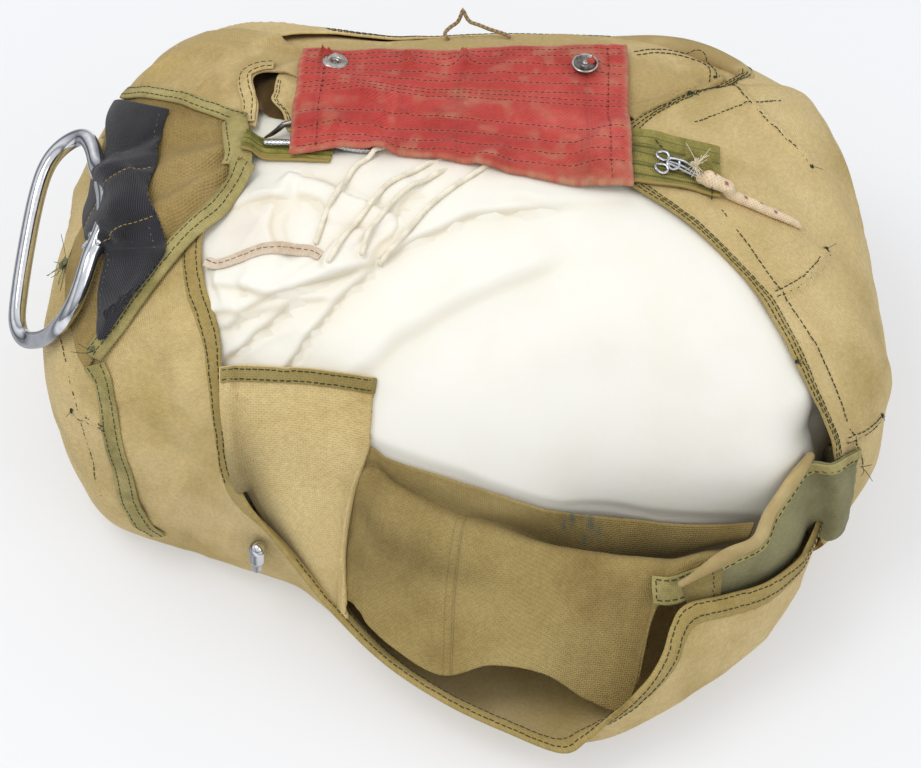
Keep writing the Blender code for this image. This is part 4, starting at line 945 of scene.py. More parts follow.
# Calendered nylon or silk canopy cloth, plain woven at 0.25 mm: cream white, smooth, soft gloss,
# light bleeding through; a warmer, yellower painted shade is laid into the creases. Its plain weave
# is too fine to show, so it is drawn at 0.7 mm.
def silkCloth(name, base, shade, stain):
    made, tree, shader = newMaterial(name, {"Roughness": 0.52, "Sheen Weight": 0.25,
                                            "Sheen Roughness": 0.35, "Specular IOR Level": 0.35})
    cloth = addNode(tree, "UVMap", {"uv_map": "cloth"})
    place = addNode(tree, "TexCoord")
    warp, weft = threadWave(tree, cloth, "X", 0.7), threadWave(tree, cloth, "Y", 0.7)
    threadsUp = addNode(tree, "Math", {"operation": "MULTIPLY"}, {0: (warp, 1), 1: (weft, 1)})
    soft = noise(tree, (place, 3), 35, 3.0)
    tone = ramp(tree, (soft, 0), (0.35, shade), (0.6, base))
    last = mix(tree, 0.35, base, (tone, 0))
    # Painted shade: a warm yellow laid into the creases beside the laps.
    last = painted(tree, last, "hollow", "#DDCDA6")
    last = painted(tree, last, "stain", stain)
    crinkle = noise(tree, (place, 3), 5, 4.0, {"Roughness": 0.6})
    finished(tree, shader, last.outputs[2], ((crinkle, 0), 0.16, 1.2), ((threadsUp, 0), 0.10, 0.2))
    return made


canopySilk = silkCloth("canopy_silk", "#F3F1E8", "#EDE8D8", "#E4CFBD")
canopyBody = addPiece("canopy_body", bodyPoints, faces, canopySilk, uv=bodyUv, node="canopy",
                      slot="canopy_cloth")

# Top cloth: a square map about the crown, where the distance from its middle is 1 - height share.
# Its rows and columns lie closer together where the folds are.
start, end, count = canopy["across"]
mapA = np.interp(np.linspace(0, 1, count), (0, 0.72, 1), (start, 0.13, end))[:, None]
start, end, count = canopy["deep"]
mapB = np.interp(np.linspace(0, 1, count), (0, 0.25, 1), (start, -0.38, end))[None]
topAngle = np.degrees(np.arctan2(mapB, mapA))
topShare = 1 - np.hypot(mapA, mapB)
plainTop = formPlain(topAngle, topShare)
lapHeight, lapSlide, lapShade = laps(plainTop, canopy["laps"])
rimOf = np.interp(topAngle, (-35, -34, -31.5, -26.6, -18.2, -9.5), (.40, .48, .63, .73, .82, .88))
rimRoom = smooth(0.0, 0.05, topShare - np.where(topAngle < -9.5, rimOf, 0.0))
x, y = plainTop[..., 0], plainTop[..., 1]
leftSide = smooth(0.02, -0.06, x)
turn = math.radians(28)
alongFold = x * math.cos(turn) + y * math.sin(turn)
acrossFold = y * math.cos(turn) - x * math.sin(turn)
soft = 1.5 * drift(alongFold / 0.075, acrossFold / 0.026, 21) \
    + 0.5 * drift(x / 0.020, y / 0.020, 22) * leftSide
ridge = 1 - np.abs(drift(alongFold / 0.060, acrossFold / 0.017, 23))
soft += 0.9 * ridge ** 6 * leftSide \
    + 0.18 * drift(alongFold / 0.014, acrossFold / 0.005, 24) * leftSide
openTop = np.clip(smooth(196, 206, np.mod(topAngle, 360)) * smooth(.60, .72, topShare)
                  + smooth(.80, .86, topShare), 0, 1)
topLift = canopyLift(topAngle, topShare) \
    + (lapHeight + soft * mm * 0.8) * np.minimum(rimRoom + 0.15, 1) * openTop
silkOut = onForm(topAngle, topShare, topLift) + lapSlide * openTop[..., None]
silkUp = gridUp(silkOut)
silkUp *= np.sign((silkUp * formUp(topAngle, topShare)).sum(-1, keepdims=True))
silkIn = silkOut - silkUp * canopy["thickness"] * mm
stained = sum(strength * np.exp(-((x - atX) / wide) ** 2 - ((y - atY) / deep) ** 2)
              for atX, atY, wide, deep, strength in canopy["stains"])
stained *= 0.6 + 0.4 * drift(x / 0.012, y / 0.012, 25)
# The top cloth carries the laps' painted shade and its real stains as point values.
silkTop = closedCloth("canopy_top_cloth", silkOut, silkIn, canopySilk, skip=6, slot="canopy_cloth",
                      values={"hollow": np.clip(lapShade * 0.85, 0, 1),
                              "stain": np.clip(stained, 0, 1)})


# Prints a sheet's cut size, its longest row and longest column, and its area, which is its grid's.
def declareSheet(piece, grid):
    across, along = np.diff(grid, axis=0), np.diff(grid, axis=1)
    width = math.ceil(np.linalg.norm(across, axis=-1).sum(0).max() / mm) * mm
    length = math.ceil(np.linalg.norm(along, axis=-1).sum(1).max() / mm) * mm
    area = np.linalg.norm(np.cross(across[:, :-1], along[:-1]), axis=-1).sum()
    area = min(float(area), width * length)
    print(piece.name, "cut", round(width, 3), "x", round(length, 3), "m,", round(area, 4), "m2")


declareSheet(silkTop, silkOut)
layDown(bodyAngle, bodyShare, canopyLift(bodyAngle, bodyShare), refine=14)
silkAngle, silkShare, silkLift = formPlace(silkOut)
layDown(silkAngle, silkShare, silkLift)
print("canopy made")

# ---- tools for hems, tapes and things laid over the pack


# Grid value at fractional column i and row j: mean of the four neighbours by nearness.
def sampled(grid, i, j):
    i, j = np.broadcast_arrays(np.asarray(i, float), np.asarray(j, float))
    nu, nv = grid.shape[:2]
    a, b = np.clip(i.astype(int), 0, nu - 2), np.clip(j.astype(int), 0, nv - 2)
    f, g = i - a, j - b
    if grid.ndim > 2:
        f, g = f[..., None], g[..., None]
    return ((grid[a, b] * (1 - g) + grid[a, b + 1] * g) * (1 - f)
            + (grid[a + 1, b] * (1 - g) + grid[a + 1, b + 1] * g) * f)


# Fractional row, in each column asked, that lies a distance (mm) from the first or the last row.
def rowAt(grid, i, distance, fromEnd=False):
    run = runOf(grid, 1)
    if fromEnd:
        run = (run[:, -1:] - run)[:, ::-1]
    run = sampled(run, np.asarray(i, float)[:, None], np.arange(grid.shape[1])[None])
    aim = np.broadcast_to(np.asarray(distance, float) * mm, (len(run),))[:, None]
    j = np.clip((run < aim).sum(1, keepdims=True) - 1, 0, run.shape[1] - 2)
    lower, upper = np.take_along_axis(run, j, 1), np.take_along_axis(run, j + 1, 1)
    row = (j + np.clip((aim - lower) / np.maximum(upper - lower, 1e-12), 0, 1))[:, 0]
    return grid.shape[1] - 1 - row if fromEnd else row


# Stitches on a grid at fractional columns and rows, on the side that "up" points to.
def sewOn(colour, grid, up, i, j, **more):
    sew(colour, sampled(grid, i, j), sampled(up, i, j), **more)


# A line drawn on the form at even steps: its points, and the unit directions up and across it.
def lineFrame(rows, count):
    line = track(rows, count)
    centre, up = formPlain(line[:, 0], line[:, 1]), formUp(line[:, 0], line[:, 1])
    return centre, up, unit(np.cross(up, np.gradient(centre, axis=0)))


# A tape laid along a line of the form over what lies there, with a little give between heights.
# Sizes are in mm; "ribs" is their step and height, "lines" the place and half width of each dark
# line between them, "rust" the place and softness of a frayed edge, "seams" where each is sewn.
def layTape(name, rows, width, thick, look, gap=0.35, crown=0.0, cell=1.2, passes=40, ripple=0.0,
            seams=(), seamColour="dark", seed=50, finer=1, ribs=None, lines=(), rust=None, **more):
    centre, _, _ = lineFrame(rows, 60)
    length = np.linalg.norm(np.diff(centre, axis=0), axis=1).sum()
    count = max(12, int(length / (cell * mm)))
    across = max(6, int(width / 1.1 * finer) + 1)
    centre, _, side = lineFrame(rows, count)
    t = np.linspace(-0.5, 0.5, across)
    angle, share, _ = formPlace(centre[:, None] + side[:, None] * (width * mm) * t[None, :, None])
    lift = eased(whatLies(angle, share, 0.0007) + gap * mm, passes)
    s = np.linspace(0, length, count)[:, None]
    lift = lift + crown * mm * (1 - (2 * t[None]) ** 2) \
        + ripple * mm * np.maximum(0, drift(s / 0.011 + seed, t[None] * 1.2, seed))
    place = t[None] * width + 0 * s
    if ribs:
        swayed = place + 0.4 * drift(s / 0.009, 0 * t, seed + 20)
        lift = lift + ribs[1] * mm * np.cos(2 * math.pi * swayed / ribs[0])
        dark = sum(np.exp(-((place - at + 0.35 * drift(s / 0.006, 0 * t + at, seed + 21)) / half)
                          ** 2) for at, half in lines)
        frayed = smooth(rust[0] + rust[1], rust[0],
                        place + 0.8 * drift(s / 0.0025, 0 * t, seed + 22))
        more["values"] = {"hollow": np.clip(dark * 0.8, 0, 1), "marks": np.clip(frayed, 0, 0.9)}
    outer = onForm(angle, share, lift + thick * mm)
    closedCloth(name, outer, onForm(angle, share, lift), look, **more)
    layDown(angle, share, lift + thick * mm)
    ups = formUp(angle, share)
    for place in seams:
        at = (place / width + 0.5) * (across - 1)
        sewOn(seamColour, outer, ups, np.arange(count), at, radius=0.24, astray=0.10)


# ---- cloths of the pack, their real material and finish

olive = {"thread": 1.0, "base": "#B2A56C", "light": "#C0B379", "dark": "#958A54", "twill": 0.1,
         "patch": 18, "grime": 0.15, "weaveBump": 0.6}
oliveTape = wovenCloth("cotton_binding_tape", olive)
# The khaki's dark brown is the colour of painted shade in the long cloth's trough and on the wing;
# its blue-grey is for real marks.
innerLook = {"thread": 1.15, "base": "#AE9860", "light": "#BCA76E", "dark": "#937C48", "twill": 0.2,
             "patch": 60, "grime": 0.2, "weaveBump": 0.8, "weaveTone": 0.55, "hollow": "#33280F",
             "marks": "#5F6B63"}
innerCloth = wovenCloth("khaki_half_panama", innerLook)
# The wing is a lighter copy of the khaki: partly faded cloth, partly painted light for the wing
# lying lit above the shaded long cloth.
wingCloth = wovenCloth("khaki_half_panama_faded_and_lit", {
    **innerLook, "base": "#E2C98E", "light": "#ECD69C", "dark": "#C6AA6E", "marks": None})
flapCanvas = wovenCloth("cotton_canvas_back", {**canvasLook, "base": "#C6AD77", "tape": None})
ribbedLook = {**canvasLook, "base": "#AD945C", "light": "#BAA16C", "dark": "#937B48",
              "thread": 1.25, "weaveBump": 0.9, "weaveTone": 0.6, "twill": 0.25, "turn": 0.8,
              "tape": None}
sideCanvas = wovenCloth("ribbed_cotton_duck", ribbedLook)
gussetCloth = wovenCloth("grey_green_twill", {"thread": 1.0, "base": "#8C8862", "light": "#9A966E",
                                              "dark": "#74714F", "patch": 40, "grime": 0.1,
                                              "weaveTone": 0.35})

# ---- back flap

backFlap = {
    "thickness": 1.4, "columns": 330, "rows": 96,
    # angle, share of the far and the near edge, lift past the rim and at the near edge (mm)
    "table": (
        (14, .600, .850, -3.1, -3.1), (22, .560, .850, -3.1, -3.1), (28, .540, .860, -2.6, -3.1),
        (34, .500, .870, -1.0, -3.1), (42, .480, .880, 0.5, -3.1), (54, .480, .890, 0.5, -3.1),
        (72, .480, .900, 0.0, -3.1), (90, .480, .900, 0.0, -3.1), (106, .500, .900, 0.5, -3.1),
        (118, .545, .900, 1.0, -1.0), (128, .578, .900, 1.5, 1.0), (136, .562, .900, 2.5, 3.0),
        (141, .545, .890, 3.5, 4.5), (145, .530, .860, 4.0, 5.0), (148, .522, .800, 4.0, 6.0),
        (151, .518, .778, 3.5, 5.5), (155, .518, .792, 2.5, 3.5), (158, .522, .803, 1.5, 1.5),
        (164, .530, .812, 0.0, 0.5),
    ),
    "overRim": (134, 141),  # from where on (degrees) it lies over the wall's rim
    "under": -3.1,          # lift where it is tucked in behind the rim (mm)
    "creases": ((((42.8, .727), (38, .670), (33.6, .662), (27.6, .712)), 1.2, 3.0),
                (((34.0, .74), (31.0, .70), (27.5, .73)), -2.2, 4.0),
                (((150, .64), (143, .70), (134, .72)), 2.4, 7.0),
                (((146, .60), (136, .64), (124, .66)), -2.4, 6.0),
                (((141, .60), (140, .69), (137, .75), (130, .79)), -5.5, 4.5, .1, .3),
                (((157, .58), (150, .62), (146.5, .69), (146, .75)), 5.0, 5.0),
                (((149, .70), (153, .73), (158, .76)), 1.6, 4.0),
                (((134, .80), (142, .81), (148, .80)), 2.6, 5.0)),
}
rows = smoothRows(backFlap["table"], backFlap["columns"])
v = np.linspace(0, 1, backFlap["rows"])[None]
share = rows[:, 1:2] + (rows[:, 2:3] - rows[:, 1:2]) * v
angle = rows[:, :1] + 0 * v
past = share - rimShare(angle)
past = past + (np.maximum(past, 0.09) - past) * smooth(*backFlap["overRim"], angle)
base = backFlap["under"] * mm
lift = base + (rows[:, 3:4] * mm - base) * smooth(.012, .060, past)
lift += (rows[:, 4:5] - rows[:, 3:4]) * mm * smooth(.65, 1, v) * smooth(.012, .060, past)
flapPlain = formPlain(angle, share)
free = smooth(.02, .08, past)
extra = (1.6 * drift(angle / 9, share / 0.09, 31) + 0.7 * drift(angle / 4, share / 0.05, 32)) * mm
lift = lift + free * (extra + creases(flapPlain, backFlap["creases"]))
floorLift = eased(np.where(past > 0.02, whatLies(angle, share, 0.0012), base), 24)
lift = np.maximum(lift, floorLift + 0.5 * mm)
backOuter = onForm(angle, share, lift + backFlap["thickness"] * mm)
backMade = closedCloth("back_flap_canvas", backOuter, onForm(angle, share, lift), flapCanvas,
                       skip=3, node="back_flap", slot="flap_canvas")
declareSheet(backMade, backOuter)
layDown(angle, share, lift + backFlap["thickness"] * mm)

# The hole by the left flap: its far side is a strip of the same cloth that goes under the red flap.
hole = {
    "thickness": 1.4, "insideThickness": 0.8,
    # angle, share of its near and far edge, lift of the near edge and the middle (mm)
    "side": (
        (144.0, .800, .925, 4.0, 4.5), (148.5, .800, .925, 3.5, 5.0), (153.0, .812, .925, 2.5, 4.5),
        (157.0, .824, .925, 2.5, 4.0), (161.0, .842, .925, 1.5, 3.5), (166.0, .855, .925, 0.5, 2.5),
    ),
    "inside": ((141.0, .760, .850), (148.0, .758, .850), (154.0, .775, .850), (158.5, .792, .850)),
    "hem": ((146.5, .790), (148.6, .776), (151.2, .768), (154.5, .778), (158.0, .793),
            (163.5, .802)),
}
# Painted shade: a dark brown sheet under the hole stands in for the shadow inside it.
rows = smoothRows(hole["inside"], 30)
v = np.linspace(0, 1, 24)[None]
angle, share = rows[:, :1] + 0 * v, rows[:, 1:2] + (rows[:, 2:3] - rows[:, 1:2]) * v
lift = whatLies(angle, share, 0.001) * (share > .80) + 0.3 * mm - 1.2 * mm * (share <= .80)
holeShadeCanvas = wovenCloth("canvas_painted_hole_shade", {**canvasLook, "base": "#5A4524", "light": "#6B5330",
                                               "dark": "#3A2A12", "tape": None})
lift = np.minimum(eased(lift, 10), 0.6 * mm)
closedCloth("back_flap_hole_shade_sheet", onForm(angle, share, lift + hole["insideThickness"] * mm),
            onForm(angle, share, lift), holeShadeCanvas, slot="flap_canvas")
rows = smoothRows(hole["side"], 90)
v = np.linspace(0, 1, 60)[None]
angle, share = rows[:, :1] + 0 * v, rows[:, 1:2] + (rows[:, 2:3] - rows[:, 1:2]) * v
share = share + 0.004 * drift(angle / 3.0, v * 2, 33) * (1 - v)
lift = (rows[:, 3:4] + (rows[:, 4:5] - rows[:, 3:4]) * np.sin(v * math.pi)) * mm \
    * smooth(1.0, .5, v)
lift = lift + 0.5 * mm * drift(angle / 2.2, v * 4, 34) + 1.0 * mm * np.exp(-(v / .10) ** 2)
sideOuter = onForm(angle, share, lift + hole["thickness"] * mm)
sideMade = closedCloth("back_flap_far_side", sideOuter, onForm(angle, share, lift), flapCanvas,
                       skip=3, slot="flap_canvas")
declareSheet(sideMade, sideOuter)
layDown(angle, share, lift + hole["thickness"] * mm)
sideUp = formUp(angle, share)
layTape("hole_hem_tape", hole["hem"], 6.5, 0.9, flapCanvas, crown=0.4, cell=0.8, passes=12,
        seams=(-2.3, 1.9), ripple=0.5, seed=57, slot="flap_canvas")
sewnColumns = np.linspace(20, 84, 60)
for aside in (0.9, 1.9):
    sewOn("dark", sideOuter, sideUp, sewnColumns, rowAt(sideOuter, sewnColumns, aside * 1.3),
          radius=0.22, astray=0.08)
print("back flap made")

# ---- inner flap: a wing folded over at the left, and the long cloth that hangs into the front

innerFlap = {
    "thickness": 1.3, "wingCells": 110, "longColumns": 300, "longRows": 130,
    # blue-grey marks on the long cloth: plan place and radius (mm)
    "marks": ((57, -104.0, 2.0), (61, -106.0, 1.6), (52, -106.5, 1.3), (65, -107.5, 1.4),
              (58, -109.5, 1.1), (48, -108.0, 0.9)),
    # columns of cloth: top edge, dip, ridge, hanging part, lower edge (mm)
    "wing": (
        ((-112, -64, 148), (-111, -81, 124), (-106, -90, 98), (-94, -103, 74), (-74, -121, 55)),
        ((-95, -67, 151), (-95, -86, 126), (-92, -97, 100), (-82, -109, 76), (-68, -127, 53)),
        ((-76, -69, 152), (-75, -89, 129), (-74, -102, 104), (-70, -115, 78), (-63, -132, 51)),
        ((-58, -72, 153), (-57, -93, 131), (-60, -106, 106), (-60, -118, 79), (-59, -136, 50)),
        ((-43, -75, 153), (-46, -95, 130), (-54, -107, 103), (-58, -120, 76), (-57, -140, 49)),
        ((-41, -74, 151), (-44, -94, 128), (-52, -106, 101), (-57, -120, 74), (-57, -142, 47)),
    ),
    "long": (
        ((-64, -88, 124), (-63, -91, 116), (-64, -96, 104), (-66, -111, 74), (-68, -127, 50)),
        ((-43, -93, 124), (-42, -96, 116), (-44, -103, 112), (-50, -118, 78), (-53, -136, 54)),
        ((-33, -97, 120), (-32, -101, 106), (-33, -110, 106), (-40, -130, 71), (-42, -150, 49)),
        ((-4, -103, 112), (-4, -107, 93), (-7, -118, 93), (-11, -138, 69), (-12, -167, 40)),
        ((20, -105, 101), (20, -110, 82), (19, -121, 85), (18, -142, 68), (14, -166, 47)),
        ((45, -105, 87), (44, -112, 64), (44, -126, 83), (42, -146, 70), (38, -169, 44)),
        ((68, -103, 78), (66, -114, 56), (66, -129, 82), (63, -150, 64), (59, -174, 28)),
        ((90, -102, 73), (88, -113, 54), (87, -131, 81), (85, -151, 62), (78, -177, 28)),
        ((106, -104, 73), (103, -113, 57), (99, -131, 82), (95, -142, 76), (91, -149, 70)),
        ((126, -106, 76), (121, -113, 66), (115, -128, 82), (112, -136, 76), (108, -143, 68)),
        ((139, -110, 83), (135, -117, 76), (130, -126, 78), (126, -131, 74), (122, -136, 69)),
    ),
}


# Smooth sheet through a grid of control points: cubic across the columns, then along each row.
def loft(controls, across, along):
    columns = smoothRows(np.asarray(controls, float) * mm, across)
    return np.swapaxes(smoothRows(np.swapaxes(columns, 0, 1), along), 0, 1)


# Moves a cloth out along the form's normal where it would come nearer than the gap (mm) to what
# lies there, by no more than "most" (mm).
def keepOff(grid, gap, weight=1.0, most=20.0, passes=12):
    angle, share, lift = formPlace(grid)
    short = whatLies(angle, share, 0.001) + gap * mm - lift
    short = np.where((short > 0) & (short < 0.02) & (share > 0.02), short, 0) * weight
    raised = eased(np.minimum(short, most * mm), passes)
    return grid + formUp(angle, share) * raised[..., None]


count = innerFlap["wingCells"]
wing = loft(innerFlap["wing"], count, count)
wingUp = gridAbove(wing, 55, 55)
u, w = np.linspace(0, 1, count)[:, None], np.linspace(0, 1, count)[None]
wing = wing + wingUp * (1.0 * drift(u * 3, w * 4, 41)
                        + 0.5 * drift(u * 9, w * 5, 42))[..., None] * mm
wing = keepOff(wing, 1.4)
wingUp = gridAbove(wing, 55, 55)
wingOuter = wing + wingUp * innerFlap["thickness"] * mm
# Painted shade: the wing darkens towards its left edge, where it sinks under the wall's rim, and
# towards its lower left.
shade = 0.62 * smooth(0.30, 0.02, u) * smooth(0.05, 0.55, w) \
    + 0.35 * smooth(0.35, 0.0, u) * smooth(.6, .9, w)
wingMade = closedCloth("inner_flap_wing", wingOuter, wing, wingCloth, skip=3, node="inner_flap",
                       slot="inner_flap_canvas", values={"hollow": shade})
columns, rows = innerFlap["longColumns"], innerFlap["longRows"]
longCloth = loft(innerFlap["long"], columns, rows)
longUp = gridAbove(longCloth, 150, 100)
u, w = np.linspace(0, 1, columns)[:, None], np.linspace(0, 1, rows)[None]
hang = smooth(0.45, 0.75, w)
longCloth = longCloth + longUp * (1.4 * drift(u * 5, w * 3, 43) * hang
                                  + 0.8 * drift(u * 11, w * 6, 44)
                                  + 0.35 * drift(u * 40, w * 14, 45) * (0.4 + hang))[..., None] * mm
longCloth = keepOff(longCloth, 1.8, smooth(0.42, 0.25, w), most=3.0, passes=80)
longUp = gridAbove(longCloth, 150, 100)
longOuter = longCloth + longUp * innerFlap["thickness"] * mm
# Painted shade: the trough behind the roll is darkened where shadow falls in it, and the roll's own
# folds hold a little of the same painted shade.
troughShade = 0.95 * smooth(0.05, 0.22, w) * smooth(0.52, 0.34, w) * (0.35 + 0.65 * smooth(0.3, 0.75, u))
foldShade = 0.30 * np.exp(-((w - 0.60 - 0.25 * u) / 0.05) ** 2) \
    * smooth(0.0, 0.1, u) * smooth(0.45, 0.25, u) \
    + 0.22 * np.exp(-((w - 0.78) / 0.09) ** 2) * np.exp(-((u - 0.12) / 0.10) ** 2)
x, y = longOuter[..., 0] / mm, longOuter[..., 1] / mm
blue = sum(np.exp(-((x - atX) ** 2 + (y - atY) ** 2) / size ** 2)
           for atX, atY, size in innerFlap["marks"])
blue = np.clip(blue * (0.75 + 0.5 * drift(u * 130, w * 90, 49)), 0, 0.9)
longMade = closedCloth("inner_flap_long", longOuter, longCloth, innerCloth, skip=3,
                       node="inner_flap", slot="inner_flap_canvas",
                       values={"hollow": np.clip(troughShade + foldShade, 0, 1), "marks": blue})
declareSheet(wingMade, wingOuter)
declareSheet(longMade, longOuter)
print("inner flap made")

# ---- corner gusset

gusset = {
    "thickness": 1.3, "columns": 110, "rows": 50,
    # lower edge: angle, radius, height; upper edge: the same; bow outwards (mm)
    "table": ((300.8, 206, 71, 300.0, 204, 88, 0), (305.9, 210, 67, 306.5, 208, 98, 2),
              (312.5, 215, 62, 311.5, 209, 95, 3), (318.0, 213, 58, 315.0, 205, 102, 4),
              (322.5, 209, 54, 320.0, 204, 110, 3), (327.0, 203, 50, 325.0, 202, 108, 1),
              (331.0, 200, 50, 330.0, 199, 100, 0)),
}
rows = smoothRows(gusset["table"], gusset["columns"])
u, v = np.linspace(0, 6, gusset["columns"]), np.linspace(0, 1, gusset["rows"])
lowEdge, highEdge = polar(*rows[:, 0:3].T), polar(*rows[:, 3:6].T)
middle = lowEdge[:, None] + (highEdge - lowEdge)[:, None] * v[None, :, None]
outward = unit(middle[..., :2] - packForm["centre"])
bow = rows[:, 6:7] * np.sin(v * math.pi) + 1.2 * drift(u[:, None], v * 2, 46)
middle[..., :2] += outward * (bow * mm)[..., None]
middle = keepOff(middle, 1.2)
gussetUp = gridUp(middle)
gussetUp *= np.sign((gussetUp[55, 25, :2] * outward[55, 25]).sum())
gussetOuter = middle + gussetUp * gusset["thickness"] * mm
gussetMade = closedCloth("corner_gusset_cloth", gussetOuter, middle, gussetCloth, skip=2,
                         node="corner_gusset", slot="gusset_cloth")
declareSheet(gussetMade, gussetOuter)
print("gusset made")

# ---- left side flap with its bindings

leftFlap = {
    "thickness": 1.4, "columns": 110, "rows": 170,
    # top angle, share, bottom angle, share, puff (mm)
    "table": ((157.0, .560, 205.0, .545, 0), (158.1, .607, 204.0, .590, 2),
              (159.5, .680, 200.5, .700, 4), (161.5, .750, 195.0, .770, 5),
              (164.6, .806, 181.0, .815, 2)),
    "topBinding": ((157.0, .560), (158.1, .607), (159.5, .680), (161.5, .750), (164.2, .800)),
    "endBinding": ((165.6, .792), (169.0, .797), (174.0, .803), (181.0, .806)),
    "roll": ((180.5, .818), (188.7, .807), (193.4, .785), (199.6, .721), (203.1, .648),
             (204.5, .575)),
}
rows = smoothRows(leftFlap["table"], leftFlap["columns"])
v = np.linspace(0, 1, leftFlap["rows"])[None]
leftAngle = rows[:, 0:1] + (rows[:, 2:3] - rows[:, 0:1]) * v
leftShare = rows[:, 1:2] + (rows[:, 3:4] - rows[:, 1:2]) * v
inner = np.linspace(0, 1, leftFlap["columns"])[:, None]
bulge = smooth(0.42, 0.62, inner) * (1 - smooth(0.93, 1.0, inner) * 0.5)
waves = (0.5 - 0.5 * np.cos(v * 2 * math.pi * 3.2 + inner * 2.6 - 1.4)) * smooth(0.06, 0.16, v) \
    * smooth(1.0, 0.84, v)
floorLift = whatLies(leftAngle, leftShare, 0.001) + 0.5 * mm
leftLift = eased(floorLift, 50) + (rows[:, 4:5] * np.sin(v * math.pi) * 0.75
                                   + 4.6 * waves * bulge
                                   + 0.35 * drift(inner * 7, v * 12, 47)
                                   + 0.12 * drift(inner * 20, v * 30, 48)) * mm
leftLift = np.maximum(leftLift, floorLift)
leftOuter = onForm(leftAngle, leftShare, leftLift + leftFlap["thickness"] * mm)
leftMade = closedCloth("left_flap_canvas", leftOuter, onForm(leftAngle, leftShare, leftLift),
                       sideCanvas, skip=3, node="left_flap", slot="side_flap_canvas")
declareSheet(leftMade, leftOuter)
layDown(leftAngle, leftShare, leftLift + leftFlap["thickness"] * mm)
layTape("left_flap_top_binding_tape", leftFlap["topBinding"], 7.0, 1.3, oliveTape, crown=0.5,
        seams=(-2.0, 2.2), ripple=0.5, node="left_flap_top_binding", slot="top_binding")
layTape("left_flap_end_binding_tape", leftFlap["endBinding"], 12.0, 1.3, oliveTape, crown=1.2,
        seams=(-3.6,), ripple=0.4, seed=51, node="left_flap_end_binding", slot="end_binding")
layTape("left_flap_rolled_binding", leftFlap["roll"], 8.5, 2.0, oliveTape, crown=2.3,
        seams=(-1.2, 2.2), ripple=0.6, seed=52, node="left_flap_roll", slot="rolled_binding")
print("left flap made")

# ---- rods, cords and wires


# Height share of the form point above a plan place: the plan radius solved for its quarter wave.
def planPlace(x, y):
    angle, r = planPolar(np.asarray(x, float) * mm, np.asarray(y, float) * mm)
    _, belly, _, square = formSizes(angle)
    high = np.arccos(np.clip(r / belly, 0, 1) ** (square / 2))
    return angle, packForm["belly"] + high / (math.pi / 2) * (1 - packForm["belly"])


# Plan points (mm) on a smooth curve, evenly spaced.
def planCurve(points, count):
    fine = smoothRows(points, 200)
    far = runLength(fine)
    at = np.linspace(0, far[-1], count)
    return np.stack([np.interp(at, far, fine[:, k]) for k in (0, 1)], 1)


# A line lowered onto what lies on the pack: its radius and a gap above it, pulled taut over dips.
def rest(angle, share, radius, gap, passes=200):
    base = whatLies(angle, share, radius * 0.7 * mm) + (radius + gap) * mm
    lift = base.copy()
    for _ in range(passes):
        lift[1:-1] = np.maximum(base[1:-1], (lift[:-2] + lift[2:]) / 2)
    return onForm(angle, share, lift), formUp(angle, share)


# A rod or cord: rings across a path, each turned to its up direction; open ends are rounded off.
# "wave" adds to the radius, from the running length (m) and the turn.
def rodMesh(name, path, ups, radius, look, sides=14, loop=False, wave=None, values=None, **more):
    step = unit(np.roll(path, -1, 0) - np.roll(path, 1, 0) if loop else np.gradient(path, axis=0))
    side = unit(np.cross(step, np.broadcast_to(np.asarray(ups, float), path.shape)))
    high = np.cross(side, step)
    run = runLength(path)
    radius = np.broadcast_to(np.asarray(radius, float) * mm, (len(path),)).copy()
    turn = np.linspace(0, 2 * math.pi, sides, endpoint=False)
    if not loop:
        bends = np.radians((12, 35, 60))
        grow, out = np.sin(bends), np.cos(bends)
        head = path[0] - step[0] * (radius[0] * out)[:, None]
        tail = path[-1] + step[-1] * (radius[-1] * out[::-1])[:, None]
        path = np.concatenate([head, path, tail])
        radius = np.concatenate([radius[0] * grow, radius, radius[-1] * grow[::-1]])
        side, high = (np.concatenate([k[:1]] * 3 + [k] + [k[-1:]] * 3) for k in (side, high))
        run = np.concatenate([[run[0]] * 3, run, [run[-1]] * 3])
    r = radius[:, None] + (wave(run[:, None], turn[None]) * (radius[:, None] > 0) if wave else 0)
    rings = path[:, None] + r[..., None] * (side[:, None] * np.cos(turn)[None, :, None]
                                            + high[:, None] * np.sin(turn)[None, :, None])
    index = np.arange(len(path) * sides).reshape(-1, sides)
    a = index if loop else index[:-1]
    b = np.roll(index, -1, 0) if loop else index[1:]
    faces = np.stack([a, np.roll(a, -1, 1), np.roll(b, -1, 1), b], -1).reshape(-1, 4).tolist()
    if not loop:
        faces += [index[0, ::-1].tolist(), index[-1].tolist()]
    far, round_ = run[:, None] + 0 * turn, turn[None] + 0 * run[:, None]
    uv = np.stack([far, round_ / (2 * math.pi)], -1).reshape(-1, 2)
    made = addPiece(name, rings.reshape(-1, 3), faces, look, uv=uv,
                    values={k: f(far, round_) for k, f in (values or {}).items()}, **more)
    angle, share, lift = formPlace(rings)
    near = (lift < 30 * mm).all(1)
    if near.sum() > 3 and not loop:
        layDown(angle[near], share[near], lift[near])
    return made


